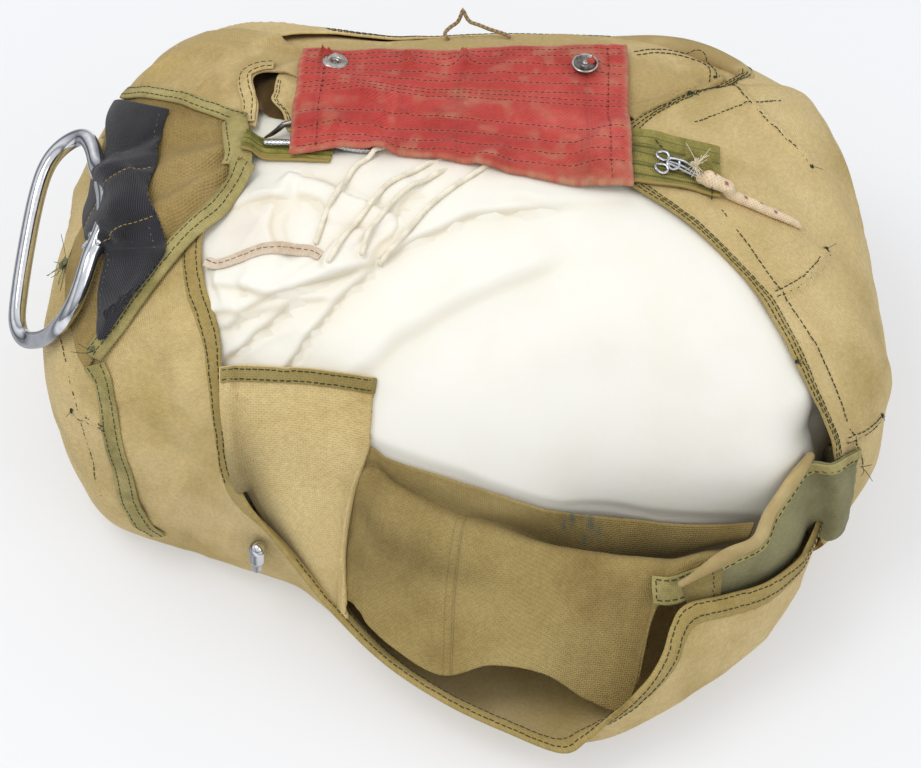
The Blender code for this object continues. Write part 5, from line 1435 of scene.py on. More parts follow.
# Chromium plate on steel: mirror bright, a little hazed, with fine scuffs that break the gleam. The
# dark and bright bands that a dim room leaves along a round mirror are a painted reflection, set by
# its normal: their places are stops, and "bands" is how much of it is painted.
def polishedMetal(name, bright, dark, rough, scuff, bands=0.0):
    made, tree, shader = newMaterial(name, {"Metallic": 1.0})
    place = addNode(tree, "TexCoord")
    haze = noise(tree, (place, 3), 4, 5.0, {"Roughness": 0.65})
    lines = noise(tree, (place, 3), 0.5, 4.0, {"Distortion": 1.2})
    tone = ramp(tree, (haze, 0), (0.35, dark), (0.62, bright))
    facing = addNode(tree, "NewGeometry")
    aim = addNode(tree, "VectorMath", {"operation": "DOT_PRODUCT", 1: (0.42, -0.46, 0.78)},
                  {0: (facing, 1)})
    # Painted reflection: dark and bright bands by the direction of the normal.
    paintedReflection = ramp(tree, (aim, 1), (0.0, "#5C5E62"), (0.18, "#9A9CA0"), (0.34, "#3C3E42"),
                (0.46, "#D9DBDE"), (0.66, "#FFFFFF"), (0.76, "#8A8C90"), (0.83, "#DADCDF"),
                (1.0, "#FFFFFF"))
    withPaintedReflection = mix(tree, bands, (tone, 0), (paintedReflection, 0), "MULTIPLY")
    gloss = addNode(tree, "MapRange", {1: 0.35, 2: 0.75, 3: rough, 4: rough + scuff},
                    {0: (lines, 0)})
    tree.links.new(gloss.outputs[0], shader.inputs["Roughness"])
    finished(tree, shader, withPaintedReflection.outputs[2], ((lines, 0), 0.05, 0.05))
    return made


# The chrome and the bright wire get painted reflection bands; the other metals none.
chrome = polishedMetal("chromium_plate", "#F0F1F4", "#DDDFE3", 0.05, 0.07, bands=0.85)
dullSteel = polishedMetal("oxidised_steel", "#8C8682", "#4A4542", 0.22, 0.20)
brightSteel = polishedMetal("bright_steel_wire", "#E2E4E6", "#B9BBBE", 0.16, 0.15, bands=0.6)

# Where the back flap's right end is turned in, its cloth bulges over the wall's rim as a soft roll.
endRoll = track(((56, .640), (49, .640), (43, .632), (37, .622), (31, .622), (27, .645),
                 (25.5, .685)), 90)
rollAt = np.linspace(0, 1, len(endRoll))
rollWide = (0.8 + 5.2 * np.sin(rollAt * math.pi) ** 0.7) \
    * (1 + 0.10 * drift(rollAt * 7, rollAt * 0, 35))
rollUp = formUp(endRoll[:, 0], endRoll[:, 1])
rodMesh("back_flap_end_roll", onForm(endRoll[:, 0], endRoll[:, 1], 0.5 * mm), rollUp, rollWide,
        flapCanvas, sides=28, slot="flap_canvas")

# ---- handle: a bent closed rod, its inner side under the elastic

handle = {
    "rod": 4.3,    # radius (mm)
    # ends of each prong and its radius (mm)
    "fork": (((-176.6, -1.5, 167.2), (-173.0, -6.6, 168.0), 1.9),
             ((-178.4, -4.6, 165.4), (-180.4, -5.8, 163.8), 1.4)),
    # the rod's middle line (mm): down under the elastic, out of it and round the outside
    "loop": (
        (-179.5, 50.8, 155.5), (-176.3, 40.0, 160.0), (-173.7, 29.7, 163.2), (-171.9, 19.5, 165.8),
        (-171.4, 9.4, 167.6), (-172.0, 1.5, 167.8), (-174.3, -4.5, 165.3), (-177.2, -9.5, 161.6),
        (-179.2, -15.5, 158.2), (-181.6, -21.5, 153.6), (-184.6, -26.5, 148.2),
        (-188.8, -30.0, 141.2),
        (-194.2, -31.0, 133.0), (-201.0, -27.5, 121.5), (-208.5, -22.5, 112.0),
        (-215.0, -18.0, 107.5),
        (-219.0, -9.0, 107.2), (-219.3, 3.0, 110.2), (-216.8, 28.0, 118.6), (-212.6, 55.0, 128.4),
        (-207.0, 69.5, 136.6), (-198.0, 76.0, 143.6), (-188.0, 74.5, 150.6), (-182.4, 63.5, 153.4),
    ),
}
bend = np.array(handle["loop"], float) * mm
at = np.linspace(0, len(bend), 300, endpoint=False)
rodPath = spline(np.arange(len(bend)), bend, at, len(bend))
for _ in range(14):
    rodPath = (np.roll(rodPath, 1, 0) + np.roll(rodPath, -1, 0)) / 4 + rodPath / 2
# Off the cloth: where the rod would come nearer than its radius, it is lifted and the lift eased.
angle, share, lift = formPlace(rodPath)
short = np.clip(whatLies(angle, share, 0.003) + (handle["rod"] + 0.3) * mm - lift, 0, 0.004)
short = np.where((lift < 0.02) & (share > 0.5), short, 0)
short = np.mean([np.roll(short, k) for k in range(-18, 19)], 0)
rodPath = rodPath + formUp(angle, share) * short[:, None]
rodMesh("ripcord_handle_rod", rodPath, (0, 0, 1), handle["rod"], chrome, sides=26, loop=True,
        node="ripcord_handle", slot="chrome_rod")
# Small fork of the handle's end, which shows where it comes out from the elastic.
for k, (a, b, radius) in enumerate(handle["fork"]):
    a, b = np.array(a), np.array(b)
    rodMesh(f"handle_fork_{k + 1}", (a + (b - a) * np.linspace(0, 1, 12)[:, None]) * mm, (0, 0, 1),
            radius, chrome, sides=20, slot="chrome_rod")
# For the elastic the rod is laid down as a ridge a little wider than itself.
up = formUp(*formPlace(rodPath)[:2])
across = unit(np.cross(np.gradient(rodPath, axis=0), up))
acrossRod = np.linspace(-1, 1, 9)[None]
ridge = rodPath[:, None] \
    + across[:, None] * (acrossRod[..., None] * (handle["rod"] + 3.2) + 1.6) * mm \
    + up[:, None] * np.sqrt(np.clip(1.75 - acrossRod ** 2, 0, 1))[..., None] * handle["rod"] * mm
layDown(*formPlace(ridge[2:78]))
print("handle made")

# ---- elastic pocket, sewn down in bands over the rod


# Black ribbed elastic: cotton-covered rubber cords side by side, matt, with pale lint in the ribs.
def ribbedElastic(name):
    made, tree, shader = newMaterial(name, {"Roughness": 0.85, "Sheen Weight": 0.2,
                                            "Sheen Roughness": 0.4, "Specular IOR Level": 0.25})
    cloth = addNode(tree, "UVMap", {"uv_map": "cloth"})
    place = addNode(tree, "TexCoord")
    ribs = threadWave(tree, cloth, "Y", 1.15,
                      {"Distortion": 0.5, "Detail": 1.0, "Detail Scale": 0.4})
    cross = threadWave(tree, cloth, "X", 0.8, {"Distortion": 0.8, "Detail": 1.0})
    knots = addNode(tree, "Mix", {"data_type": "FLOAT", "Factor": 0.25},
                    {2: (ribs, 1), 3: (cross, 1)})
    patches = noise(tree, (place, 3), 16, 4.0)
    lint = noise(tree, (place, 3), 0.9, 2.0)
    tone = ramp(tree, (knots, 0), (0.0, "#19191C"), (0.55, "#2C2C30"), (1.0, "#424247"))
    worn = ramp(tree, (patches, 0), (0.35, 0.8), (0.7, 1.25))
    both = mix(tree, 1.0, (tone, 0), (worn, 0), "MULTIPLY")
    specks = ramp(tree, (lint, 0), (0.72, 0), (0.78, 0.5))
    last = mix(tree, (specks, 0), (both, 2), "#8B8780")
    finished(tree, shader, last.outputs[2], ((knots, 0), 0.7, 0.5))
    return made


elastic = {
    "thickness": 1.4, "rows": 200, "across": 84,
    # left angle, share, right angle, share
    "table": ((156.8, .508, 164.3, .700), (166.9, .582, 170.8, .696), (172.0, .572, 176.5, .698),
              (174.9, .558, 182.3, .702), (182.1, .580, 190.7, .733), (188.9, .620, 197.0, .738),
              (193.0, .650, 200.0, .728), (198.2, .624, 202.9, .680), (204.4, .602, 205.0, .610)),
    # sewn lines: row of the table at the left and at the right edge
    "seams": ((4.6, 2.25), (5.6, 4.1)),
    "foldLine": (2.15, 1.0),
    # grey stitches along an edge: first and last row of the table, share of the way across
    "tacks": ((4.45, 5.4, 0.90), (5.5, 7.6, 0.10), (0.15, 1.35, 0.94)),
}


# Upper hull of each row: the highest straight line over it between any two of its points.
def taut(lift):
    best, at = lift.copy(), np.arange(lift.shape[1])
    for a in range(0, lift.shape[1], 2):
        for b in range(a + 3, lift.shape[1], 2):
            low, high = lift[:, a:a + 1], lift[:, b:b + 1]
            line = low + (high - low) * (at[a:b + 1] - a) / (b - a)
            best[:, a:b + 1] = np.maximum(best[:, a:b + 1], line)
    return best


last = len(elastic["table"]) - 1
rows = smoothRows(elastic["table"], elastic["rows"])
v = np.linspace(0, 1, elastic["across"])[None]
angle = rows[:, 0:1] + (rows[:, 2:3] - rows[:, 0:1]) * v
share = rows[:, 1:2] + (rows[:, 3:4] - rows[:, 1:2]) * v
at = np.linspace(0, last, elastic["rows"])[:, None] + 0 * v
seamOne, seamTwo, foldAt = (at - (left + (right - left) * v)
                            for left, right in (*elastic["seams"], elastic["foldLine"]))
# Between the sewn lines the band swells; a fold crosses it above them.
bands = 1.8 * np.exp(-((seamOne + 0.75) / 0.45) ** 2) \
    + 1.8 * np.exp(-((seamTwo + 0.52) / 0.38) ** 2) \
    - 1.1 * np.exp(-(seamOne / 0.10) ** 2) - 1.0 * np.exp(-(seamTwo / 0.10) ** 2) \
    + 1.1 * np.exp(-((foldAt - 0.25) / 0.25) ** 2) - 0.7 * np.exp(-((foldAt + 0.20) / 0.16) ** 2)
base = whatLies(angle, share, 0.0010)
wide = base.copy()
for _ in range(60):
    wide = neighbours(wide)
tautLift = taut(wide)
for _ in range(30):
    tautLift[1:-1] = (tautLift[:-2] + tautLift[2:]) / 4 + tautLift[1:-1] / 2
lift = np.maximum(tautLift + (1.3 + bands + 0.15 * drift(at * 3, v * 4, 61)) * mm, base + 0.25 * mm)
for _ in range(3):
    lift = neighbours(lift)
elasticOuter = onForm(angle, share, lift + elastic["thickness"] * mm)
elasticMade = closedCloth("elastic_pocket_band", elasticOuter, onForm(angle, share, lift),
                          ribbedElastic("ribbed_elastic"), skip=4, node="elastic_pocket",
                          slot="elastic_band")
declareSheet(elasticMade, elasticOuter)
layDown(angle, share, lift + elastic["thickness"] * mm)
elasticUp = gridUp(elasticOuter)
elasticUp *= np.sign((elasticUp * formUp(angle, share)).sum())
lastRow, lastAcross = elastic["rows"] - 1, elastic["across"] - 1
place = np.linspace(0.02, 0.98, 60)
for left, right in elastic["seams"]:
    sewOn("tan", elasticOuter, elasticUp, (left + (right - left) * place) / last * lastRow,
          place * lastAcross, length=2.0, gap=0.45, radius=0.24, astray=0.1)
for first, final, side in elastic["tacks"]:
    sewOn("grey", elasticOuter, elasticUp, np.linspace(first, final, 40) / last * lastRow,
          side * lastAcross, length=1.2, gap=1.6, radius=0.20)
print("elastic made")

# ---- webbings, wire eye, hook and opening cord

webLook = {"thread": 1.1, "base": "#A69C55", "light": "#B8AD62", "dark": "#7E7640", "twill": 0.1,
           "patch": 14, "grime": 0.35, "weaveBump": 0.9, "weaveTone": 0.6, "hollow": "#3E4A22",
           "marks": "#A08A50"}
rightWeb = wovenCloth("olive_cotton_webbing", webLook)
leftWeb = wovenCloth("ribbed_olive_webbing", {**webLook, "base": "#A89F4E", "light": "#C0B65C",
                                              "dark": "#6E6934"})
webbing = {
    "right": ((3.0, .910), (2.1, .869), (1.0, .825), (0.4, .774)),
    "left": ((172.5, .812), (172.5, .835), (173, .86), (173.5, .90)),
    # place and half width of each dark line (mm)
    "rightLines": ((-12.6, 0.5), (-7.0, 0.45), (-5.4, 0.35), (0.4, 0.4), (4.8, 0.5), (6.6, 0.35),
                   (11.8, 0.45)),
    "leftLines": ((-3.4, 0.35), (-0.1, 0.6), (3.2, 0.45), (5.6, 0.6)),
}
# Ribs run lengthwise, with dark green lines between them and a looped, rust-brown lower edge.
layTape("right_webbing_band", webbing["right"], 33.0, 1.8, rightWeb, gap=0.5, passes=80, cell=0.7,
        finer=3, ribs=(5.4, 0.45), lines=webbing["rightLines"], rust=(-15.6, 1.7), ripple=0.5,
        seed=53, node="right_webbing", slot="right_webbing")
layTape("left_webbing_band", webbing["left"], 13.5, 1.8, leftWeb, gap=0.4, cell=0.6, finer=3,
        ribs=(3.4, 0.4), lines=webbing["leftLines"], rust=(-5.6, 1.2), seed=54,
        node="left_webbing", slot="left_webbing")

wires = {
    # plan centre and radii of the eye's three loops (mm)
    "eye": ((93.6, 31.8, 3.0, 2.7), (92.8, 23.8, 3.1, 2.8), (98.6, 27.4, 2.9, 2.9)),
    "hook": ((96.6, 28.6), (99.6, 27.6), (103.5, 25.8), (107.5, 24.0), (110.0, 22.8)),
    "cord": ((111.5, 20.0), (114, 19.2), (120, 17.6), (126, 16.4), (133.5, 14.4), (143, 11.8),
             (153, 10.0), (161.5, 9.0)),
    # tracer dashes: place along the cord (mm), turn (radians)
    "dashes": ((5.0, 2.0), (11.5, 1.2), (18.5, 2.1), (25.0, 1.5), (33.0, 1.9), (36.5, 2.3),
               (41.0, 1.2), (42.5, 2.2)),
    # shares of the cord's length, its radius there (mm)
    "thickness": ((0, .05, .15, .30, .62, .85, .95, 1), (3.0, 4.0, 3.6, 2.8, 2.2, 2.0, 1.6, .6)),
}
for k, (x, y, wide, deep) in enumerate(wires["eye"]):
    turn = np.linspace(0, 2 * math.pi, 56, endpoint=False)
    angle, share = planPlace(x + wide * np.cos(turn), y + deep * np.sin(turn))
    path, ups = rest(angle, share, 0.8, 0.15)
    path = path + ups * 0.5 * mm * (1 + np.sin(turn * 2 + k))[:, None]
    rodMesh(f"wire_eye_ring_{k + 1}", path, ups, 0.78, brightSteel, sides=12, loop=True,
            node="wire_eye" if k == 1 else None, slot="wire_eye")
plan = planCurve(wires["hook"], 40)
step = unit(np.gradient(plan, axis=0))
for k, aside in enumerate((-1.8, 0.0, 1.8)):
    moved = plan + np.stack([-step[:, 1], step[:, 0]], 1) * aside
    path, ups = rest(*planPlace(moved[:, 0], moved[:, 1]), 0.72, 1.5)
    rodMesh(f"hook_wire_{k + 1}", path, ups, 0.72, brightSteel, sides=12, slot="wire_hook",
            node="cord_hook" if k == 1 else None)


# Elastic bungee: rubber in a cream cotton braid, its tracer strands showing as dark red dashes.
def braidedCord(name, base, shade, tracer=None, pitch=2.2, strands=6, depth=0.5):
    made, tree, shader = newMaterial(name, {"Roughness": 0.82, "Sheen Weight": 0.15,
                                            "Specular IOR Level": 0.25})
    cloth = addNode(tree, "UVMap", {"uv_map": "cloth"})
    place = addNode(tree, "TexCoord")
    split = addNode(tree, "SeparateXYZ", {}, {0: (cloth, 0)})
    turn = addNode(tree, "Math", {"operation": "MULTIPLY", 1: 2 * math.pi * strands},
                   {0: (split, 1)})
    run = addNode(tree, "Math", {"operation": "MULTIPLY", 1: 2 * math.pi / (pitch * mm)},
                  {0: (split, 0)})
    rightWay = addNode(tree, "Math", {"operation": "ADD"}, {0: (turn, 0), 1: (run, 0)})
    leftWay = addNode(tree, "Math", {"operation": "SUBTRACT"}, {0: (turn, 0), 1: (run, 0)})
    one, two = (addNode(tree, "Math", {"operation": "SINE"}, {0: (way, 0)})
                for way in (rightWay, leftWay))
    over = addNode(tree, "Math", {"operation": "MAXIMUM"}, {0: (one, 0), 1: (two, 0)})
    soft = noise(tree, (place, 3), 5, 3.0)
    tone = ramp(tree, (over, 0), (0.15, shade), (0.7, base))
    dirt = ramp(tree, (soft, 0), (0.35, (0.86, 0.84, 0.80)), (0.65, 1.03))
    last = mix(tree, 1.0, (tone, 0), (dirt, 0), "MULTIPLY")
    if tracer:
        last = painted(tree, last, "dash", tracer)
    finished(tree, shader, last.outputs[2], ((over, 0), depth, 0.25))
    return made


bungeeBraid = braidedCord("bungee_braid", "#F0DDBF", "#E2C8A2", tracer="#8A3A40", pitch=1.7,
                          strands=9)
lineBraid = braidedCord("silk_line_braid", "#F5EFDF", "#EAE1C8", pitch=1.2, strands=4, depth=0.25)
twineLay = braidedCord("hemp_twine", "#A8906A", "#7E684A", pitch=2.6, strands=2)


# Share of tracer at a place on the braid: a few short slanted dashes where its red strand surfaces.
def tracerDash(run, turn):
    total = 0.0
    for place, middle in wires["dashes"]:
        away = np.mod(turn - middle + math.pi, 2 * math.pi) - math.pi
        total = np.maximum(total, smooth(0.42, 0.22, np.abs(away))
                           * smooth(1.1, 0.6, np.abs(run / mm + away * 1.2 - place)))
    return total * 0.85


plan = planCurve(wires["cord"], 230)
far = np.linspace(0, 1, len(plan))
cordRadius = np.interp(far, *wires["thickness"])
cordRadius += 0.12 * drift(far * 18, 0, 71)
angle, share = planPlace(plan[:, 0], plan[:, 1])
path, ups = rest(angle, share, cordRadius, 0.1, passes=60)
bungee = rodMesh("opening_cord_bungee", path, ups, cordRadius, bungeeBraid, sides=36,
                 values={"dash": tracerDash}, node="opening_cord", slot="bungee_cord")

# ---- pin, cable and suspension lines

pins = {
    "pin": ((167.4, .827), (166.4, .840), (164.0, .860), (161.0, .888)),
    "cable": ((171.5, .832), (171.2, .850), (171.0, .870), (171.0, .900), (171.0, .935)),
}
line = track(pins["pin"], 60)
path, ups = rest(line[:, 0], line[:, 1], 1.4, 0.3)
pinRadius = np.interp(np.linspace(0, 1, len(line)), (0, .12, .3, 1), (.5, 1.1, 1.4, 1.4))
rodMesh("ripcord_pin_rod", path, ups, pinRadius, dullSteel, node="ripcord_pin", slot="steel_pin")


# Seven-strand steel rope: the skin swells and dips once for each of six strands, which wind round.
def ropeSkin(run, turn):
    return 0.22 * mm * np.abs(np.sin(3 * (turn + run / (1.9 * mm))))


line = track(pins["cable"], 150)
path, ups = rest(line[:, 0], line[:, 1], 1.5, 0.3)
cable = rodMesh("ripcord_cable_rope", path, ups, 1.4, brightSteel, sides=30, wave=ropeSkin,
                node="ripcord_cable", slot="steel_cable")

# Plan points (mm) of each suspension line.
lineRoutes = (
    ((-69, -17), (-65, -5), (-59, 8), (-52, 26), (-45, 33), (-38, 40)),
    ((-62, -28), (-56, -17), (-50, -8), (-43, 2), (-36, 13), (-24, 22), (-12, 31), (-4, 38)),
    ((-47, -25), (-44, -14), (-37, -4), (-29, 7), (-16, 18), (-4, 28), (3, 36)),
    ((-39, -27), (-27, -14), (-17, 0), (-4, 13), (9, 24), (16, 34)),
)
lineNames = ("first", "second", "third", "fourth")
for k, (points, word) in enumerate(zip(lineRoutes, lineNames)):
    plan = planCurve(points, 140)
    angle, share = planPlace(plan[:, 0], plan[:, 1])
    path, ups = rest(angle, share, 1.25, 0.15, passes=30)
    made = rodMesh(f"silk_line_{k + 1}", path, ups, 1.25, lineBraid, sides=12,
                   node=f"suspension_line_{k + 1}", slot=word + "_line")

tapeLook = {"thread": 0.8, "base": "#E6D6C0", "light": "#F0E3CF", "dark": "#D6BFA4", "twill": 0.1,
            "patch": 12, "grime": 0.2, "weaveTone": 0.4, "sheen": 0.2, "roughness": 0.8}
edgeBinding = wovenCloth("silk_edge_tape", tapeLook)
layTape("canopy_edge_binding",
        ((203.5, .771), (205.8, .784), (208.5, .827), (214.3, .843), (219.0, .836)), 5.0, 0.9,
        edgeBinding, gap=0.3, passes=12, seams=(0.3,), seamColour="pink", seed=55,
        node="canopy_edge_tape", slot="canopy_tape")

# ---- twine loop behind the red flap

twinePoints = ((-8, 124, 168), (-9, 129, 168), (-3, 134, 169), (5, 133, 170), (13, 129, 170),
               (20, 126, 170), (23, 124, 170))
path = smoothRows(np.array(twinePoints, float) * mm, 110)
angle, share, lift = formPlace(path)
short = np.clip(whatLies(angle, share, 0.001) + 1.3 * mm - lift, 0, 0.01)
path = path + formUp(angle, share) * eased(np.stack([short] * 3, 1), 30)[:, 1:2]


# Two-ply twine: the skin swells over each of its two yarns, which wind round.
def twineSkin(run, turn):
    return 0.18 * mm * np.abs(np.sin(turn + run / (0.75 * mm)))


made = rodMesh("twine_loop_cord", path, (0, .5, .866), 0.85, twineLay, wave=twineSkin,
               node="twine_loop", slot="twine")

# ---- red flap over the pin: quilted cloth with a press stud at each far corner

redFlap = {
    "thickness": 3.0, "wide": 166, "columns": 232, "rows": 130,
    # plan place and height of points along its far and near edges, and how far the cloth sags (mm)
    "far": ((-78, 103, 172), (-40, 105, 174), (-2, 107, 175), (39, 110, 175), (80, 111, 173)),
    "near": ((-83, 35, 177), (-45, 37, 182), (-6, 28, 183), (37, 18, 183), (79, 13, 181)),
    "sag": (2, 1, 0, 0, 1),
    # quilting rows: share of the way from the far to the near edge, at the left, middle and right
    "quilt": ((.055, .047, .035), (.125, .095, .085), (.195, .157, .170), (.270, .250, .228),
              (.325, .335, .297), (.410, .398, .378), (.452, .430, .430), (.495, .468, .470),
              (.684, .650, .650), (.825, .768, .730), (.915, .865, .812), (.970, .955, .885)),
    "ends": (.078, .945),    # sewn lines across its ends, as shares of its width
    "studs": ((-63.0, 92.5, 6.8), (59.5, 90.5, 6.6)),    # plan place and radius (mm)
}
nu, nv = redFlap["columns"], redFlap["rows"]
far, near = (smoothRows(redFlap[side], nu) * mm for side in ("far", "near"))
sag = smoothRows(redFlap["sag"], nu)[:, None]
u, v = np.linspace(0, 1, nu)[:, None], np.linspace(0, 1, nv)[None]
middle = far[:, None] + (near - far)[:, None] * v[..., None]
# Its edges wander a little, as worn cloth does.
middle[..., 1] += (v * 1.0 * drift(u * 6, v * 0, 81) + (1 - v) * 0.5 * drift(u * 5, v * 0, 82)) * mm
middle[..., 0] += ((1 - u) * 0.9 * drift(v * 5, u * 0, 83) + u * 0.9 * drift(v * 6, u * 0, 84)) * mm
angle, share = planPlace(middle[..., 0] / mm, middle[..., 1] / mm)
formHigh = formPlain(angle, share)[..., 2]
upHigh = np.maximum(formUp(angle, share)[..., 2], 0.6)
floorHigh = formHigh + (whatLies(angle, share, 0.0012) + 1.0 * mm) / upHigh
floorHigh = np.minimum(floorHigh, middle[..., 2] + (9.0 + 30.0 * smooth(0.05, 0.16, v)) * mm)
arch = (4 - sag * 0.5) * mm * np.sin(v * math.pi)
high = eased(np.maximum(middle[..., 2] + arch, floorHigh), 60)
# Quilting: the cloth dips to each sewn row, and swells between rows.
quiltAt = np.stack([np.interp(u[:, 0], (0.06, 0.5, 0.95), row)
                    + 0.006 * drift(np.linspace(0, 6, nu), k * 3.7, 85)
                    for k, row in enumerate(redFlap["quilt"])])
gap = np.abs(v[None] - quiltAt[..., None])
length = np.linalg.norm(near - far, axis=1)[:, None] / mm
nearest = gap.min(0) * length
dip = -0.55 * np.exp(-(nearest / 1.1) ** 2)
left, right = redFlap["ends"]
ends = np.minimum(np.abs(u - left), np.abs(u - right)) * redFlap["wide"]
dip = dip - 0.5 * np.exp(-(ends / 1.1) ** 2) \
    + 0.35 * smooth(left, left - .01, u) + 0.35 * smooth(right, right + .01, u)
lumps = 0.40 * drift(u * 5, v * 2.2, 86) + 0.16 * drift(u * 24, v * 10, 87) \
    + 0.07 * drift(u * 60, v * 26, 88)
# One crease crosses it: a ridge, then a trough beside it.
pinch = 1.3 * np.exp(-((v - (0.30 + 0.06 * u)) * length / 2.6) ** 2) \
    * np.exp(-((u - 0.55) / 0.18) ** 2) \
    - 0.8 * np.exp(-((v - (0.345 + 0.06 * u)) * length / 1.8) ** 2) \
    * np.exp(-((u - 0.57) / 0.16) ** 2)
rise = (dip + lumps + pinch) * mm
under = middle.copy()
under[..., 2] = np.maximum(high + lumps * mm * 0.5, floorHigh)
over = under.copy()
over[..., 2] += redFlap["thickness"] * mm + np.maximum(rise - lumps * mm * 0.5, -1.2 * mm)
edgeFade = np.minimum(np.minimum(u, 1 - u) * redFlap["wide"], np.minimum(v, 1 - v) * length)
over[..., 2] -= 0.9 * mm * np.exp(-(edgeFade / 1.2) ** 2)
dust = 0.60 * np.exp(-(edgeFade / 1.3) ** 2) + 0.25 * smooth(0.45, 0.9, drift(u * 8, v * 5, 89)) \
    + 0.5 * smooth(0.80, 1.0, v) * smooth(0.45, 0.9, u) * (0.6 + 0.4 * drift(u * 30, v * 20, 90)) \
    + 0.35 * smooth(0.3, 0.8, drift(u * 26, v * 14, 91)) \
    + 0.25 * np.exp(-(nearest / 0.9) ** 2)
dust *= 0.75 + 0.35 * drift(u * 60, v * 40, 92)
redLook = {"thread": 1.0, "base": "#BF4640", "light": "#CE5E55", "dark": "#AC3A34", "twill": 0.8,
           "patch": 30, "grime": 0.3, "weaveBump": 0.5, "weaveTone": 0.4, "hollow": "#B9876A",
           "slub": 0.8, "sheen": 0.1}
redTwill = wovenCloth("faded_red_cotton_twill", redLook)
redMade = closedCloth("red_flap_quilt", over, under, redTwill, skip=3, node="red_flap",
                      slot="quilted_red_cloth", values={"hollow": np.clip(dust, 0, 0.9)})
declareSheet(redMade, over)
redUp = gridUp(over)
redUp *= np.sign(redUp[..., 2:])
quilting = {"length": 2.2, "gap": 0.7, "radius": 0.17, "astray": 0.1}
inside = (u[:, 0] > 0.012) & (u[:, 0] < 0.988)
for row in quiltAt:
    sewOn("brown", over, redUp, np.arange(nu)[inside], row[inside] * (nv - 1), **quilting)
for place in redFlap["ends"]:
    sewOn("brown", over, redUp, place * (nu - 1), np.linspace(0.03, 0.985, 90) * (nv - 1),
          **quilting)
print("red flap made")


# Three unit directions at right angles: up, one square to it and to a given line, and the third.
def axesRound(up, line):
    up = unit(np.asarray(up, float))
    right = unit(np.cross(line, up))
    return up, right, np.cross(up, right)


# A turned piece: the profile (radius, height in mm) carried once round an axis.
def turned(name, at, up, profile, look, sides=64, **more):
    up, right, back = axesRound(up, (0.1, 1.0, 0.2))
    profile = np.asarray(profile, float) * mm
    turn = np.linspace(0, 2 * math.pi, sides, endpoint=False)[:, None, None]
    points = (np.asarray(at)[None, None] + up * profile[None, :, 1:2]
              + (right * np.cos(turn) + back * np.sin(turn)) * profile[None, :, :1])
    index = np.arange(sides * len(profile)).reshape(sides, -1)
    after = np.roll(index, -1, 0)
    quads = np.stack([index[:, :-1], after[:, :-1], after[:, 1:], index[:, 1:]], -1)
    faces = quads.reshape(-1, 4).tolist() + [index[::-1, 0].tolist(), index[:, -1].tolist()]
    return addPiece(name, points.reshape(-1, 3), faces, look, **more)


# Height and normal of the red flap's top at a plan place (mm).
def onRed(x, y):
    away = np.hypot(over[..., 0] - x * mm, over[..., 1] - y * mm)
    i, j = np.unravel_index(away.argmin(), away.shape)
    box = over[max(i - 12, 0):i + 13, max(j - 12, 0):j + 13]
    up = gridUp(box).reshape(-1, 3)
    up *= np.sign(up[:, 2:])
    return over[i, j], unit(up.mean(0))


(x, y, r), (x2, y2, r2) = redFlap["studs"]
wornNickel = polishedMetal("worn_nickel_plate", "#CFCBC4", "#8C847C", 0.20, 0.25)
at, up = onRed(x, y)
turned("press_stud_ring", at - up * 0.4 * mm, up,
       ((0.1, 0.0), (r - 0.2, 0.0), (r, 0.5), (r - 0.25, 1.1), (r - 1.0, 1.75), (r - 2.0, 2.0),
        (3.3, 1.95), (2.7, 1.7), (2.45, 1.1), (2.4, 0.5), (0.1, 0.45)), wornNickel,
       node="press_stud_socket", slot="stud_socket")
turned("press_stud_spring", at, up,
       ((0.05, 0.0), (1.5, 0.0), (1.7, 0.45), (1.2, 0.75), (0.05, 0.7)),
       dullSteel, sides=32, slot="stud_socket")
at, up = onRed(x2, y2)
turned("press_stud_dish", at - up * 0.4 * mm, up,
       ((0.1, 0.0), (r2 - 0.2, 0.0), (r2, 0.6), (r2 - 0.2, 1.3), (r2 - 0.7, 1.65), (r2 - 1.15, 1.4),
        (r2 - 1.35, 1.1), (2.6, 1.05), (2.2, 1.2), (1.9, 1.6), (0.1, 1.75)), dullSteel,
       node="press_stud_post", slot="stud_post")
turned("press_stud_head", at + up * 0.9 * mm, up,
       ((0.05, 0.0), (1.55, 0.0), (1.75, 0.6), (1.5, 1.2), (1.0, 1.5), (0.05, 1.6)), wornNickel,
       sides=40, slot="stud_post")
turned("press_stud_edge", at + up * 0.6 * mm, up,
       ((r2 - 1.1, 0.0), (r2 - 0.1, 0.0), (r2 + 0.05, 0.35), (r2 - 0.25, 0.8), (r2 - 0.75, 0.95),
        (r2 - 1.1, 0.7), (r2 - 1.1, 0.02)), wornNickel, slot="stud_post")

# ---- locking cone, seam tape and base panel

cone = {
    "axis": ((-98.6, -103, 55), (-99.0, -103, 49.5), (-99.3, -103, 46), (-99.5, -103, 44),
             (-99.9, -103, 39), (-100.2, -103, 35.5)),
    # place in the axis, radius there (mm)
    "radii": ((0, 2, 4.7, 5), (4.3, 4.1, 2.2, 1.2)),
    "outwards": (-.36, -.93, 0),
}
path = np.array(cone["axis"], float) * mm
out = np.array(cone["outwards"])
# It is moved outwards to the middle of its CAD solid.
low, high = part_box("locking_cone")
shift = (np.array(low) + np.array(high)) / 2 - (path.min(0) + path.max(0)) / 2
path = path + out * max(0.0, shift @ out)
at = np.linspace(0, 5, 46)
fine = np.stack([np.interp(at, np.arange(6), path[:, k]) for k in range(3)], 1)
radii = np.interp(at, *cone["radii"])
rodMesh("locking_cone_pin", fine, out, radii, chrome, sides=40, node="locking_cone",
        slot="chrome_cone")

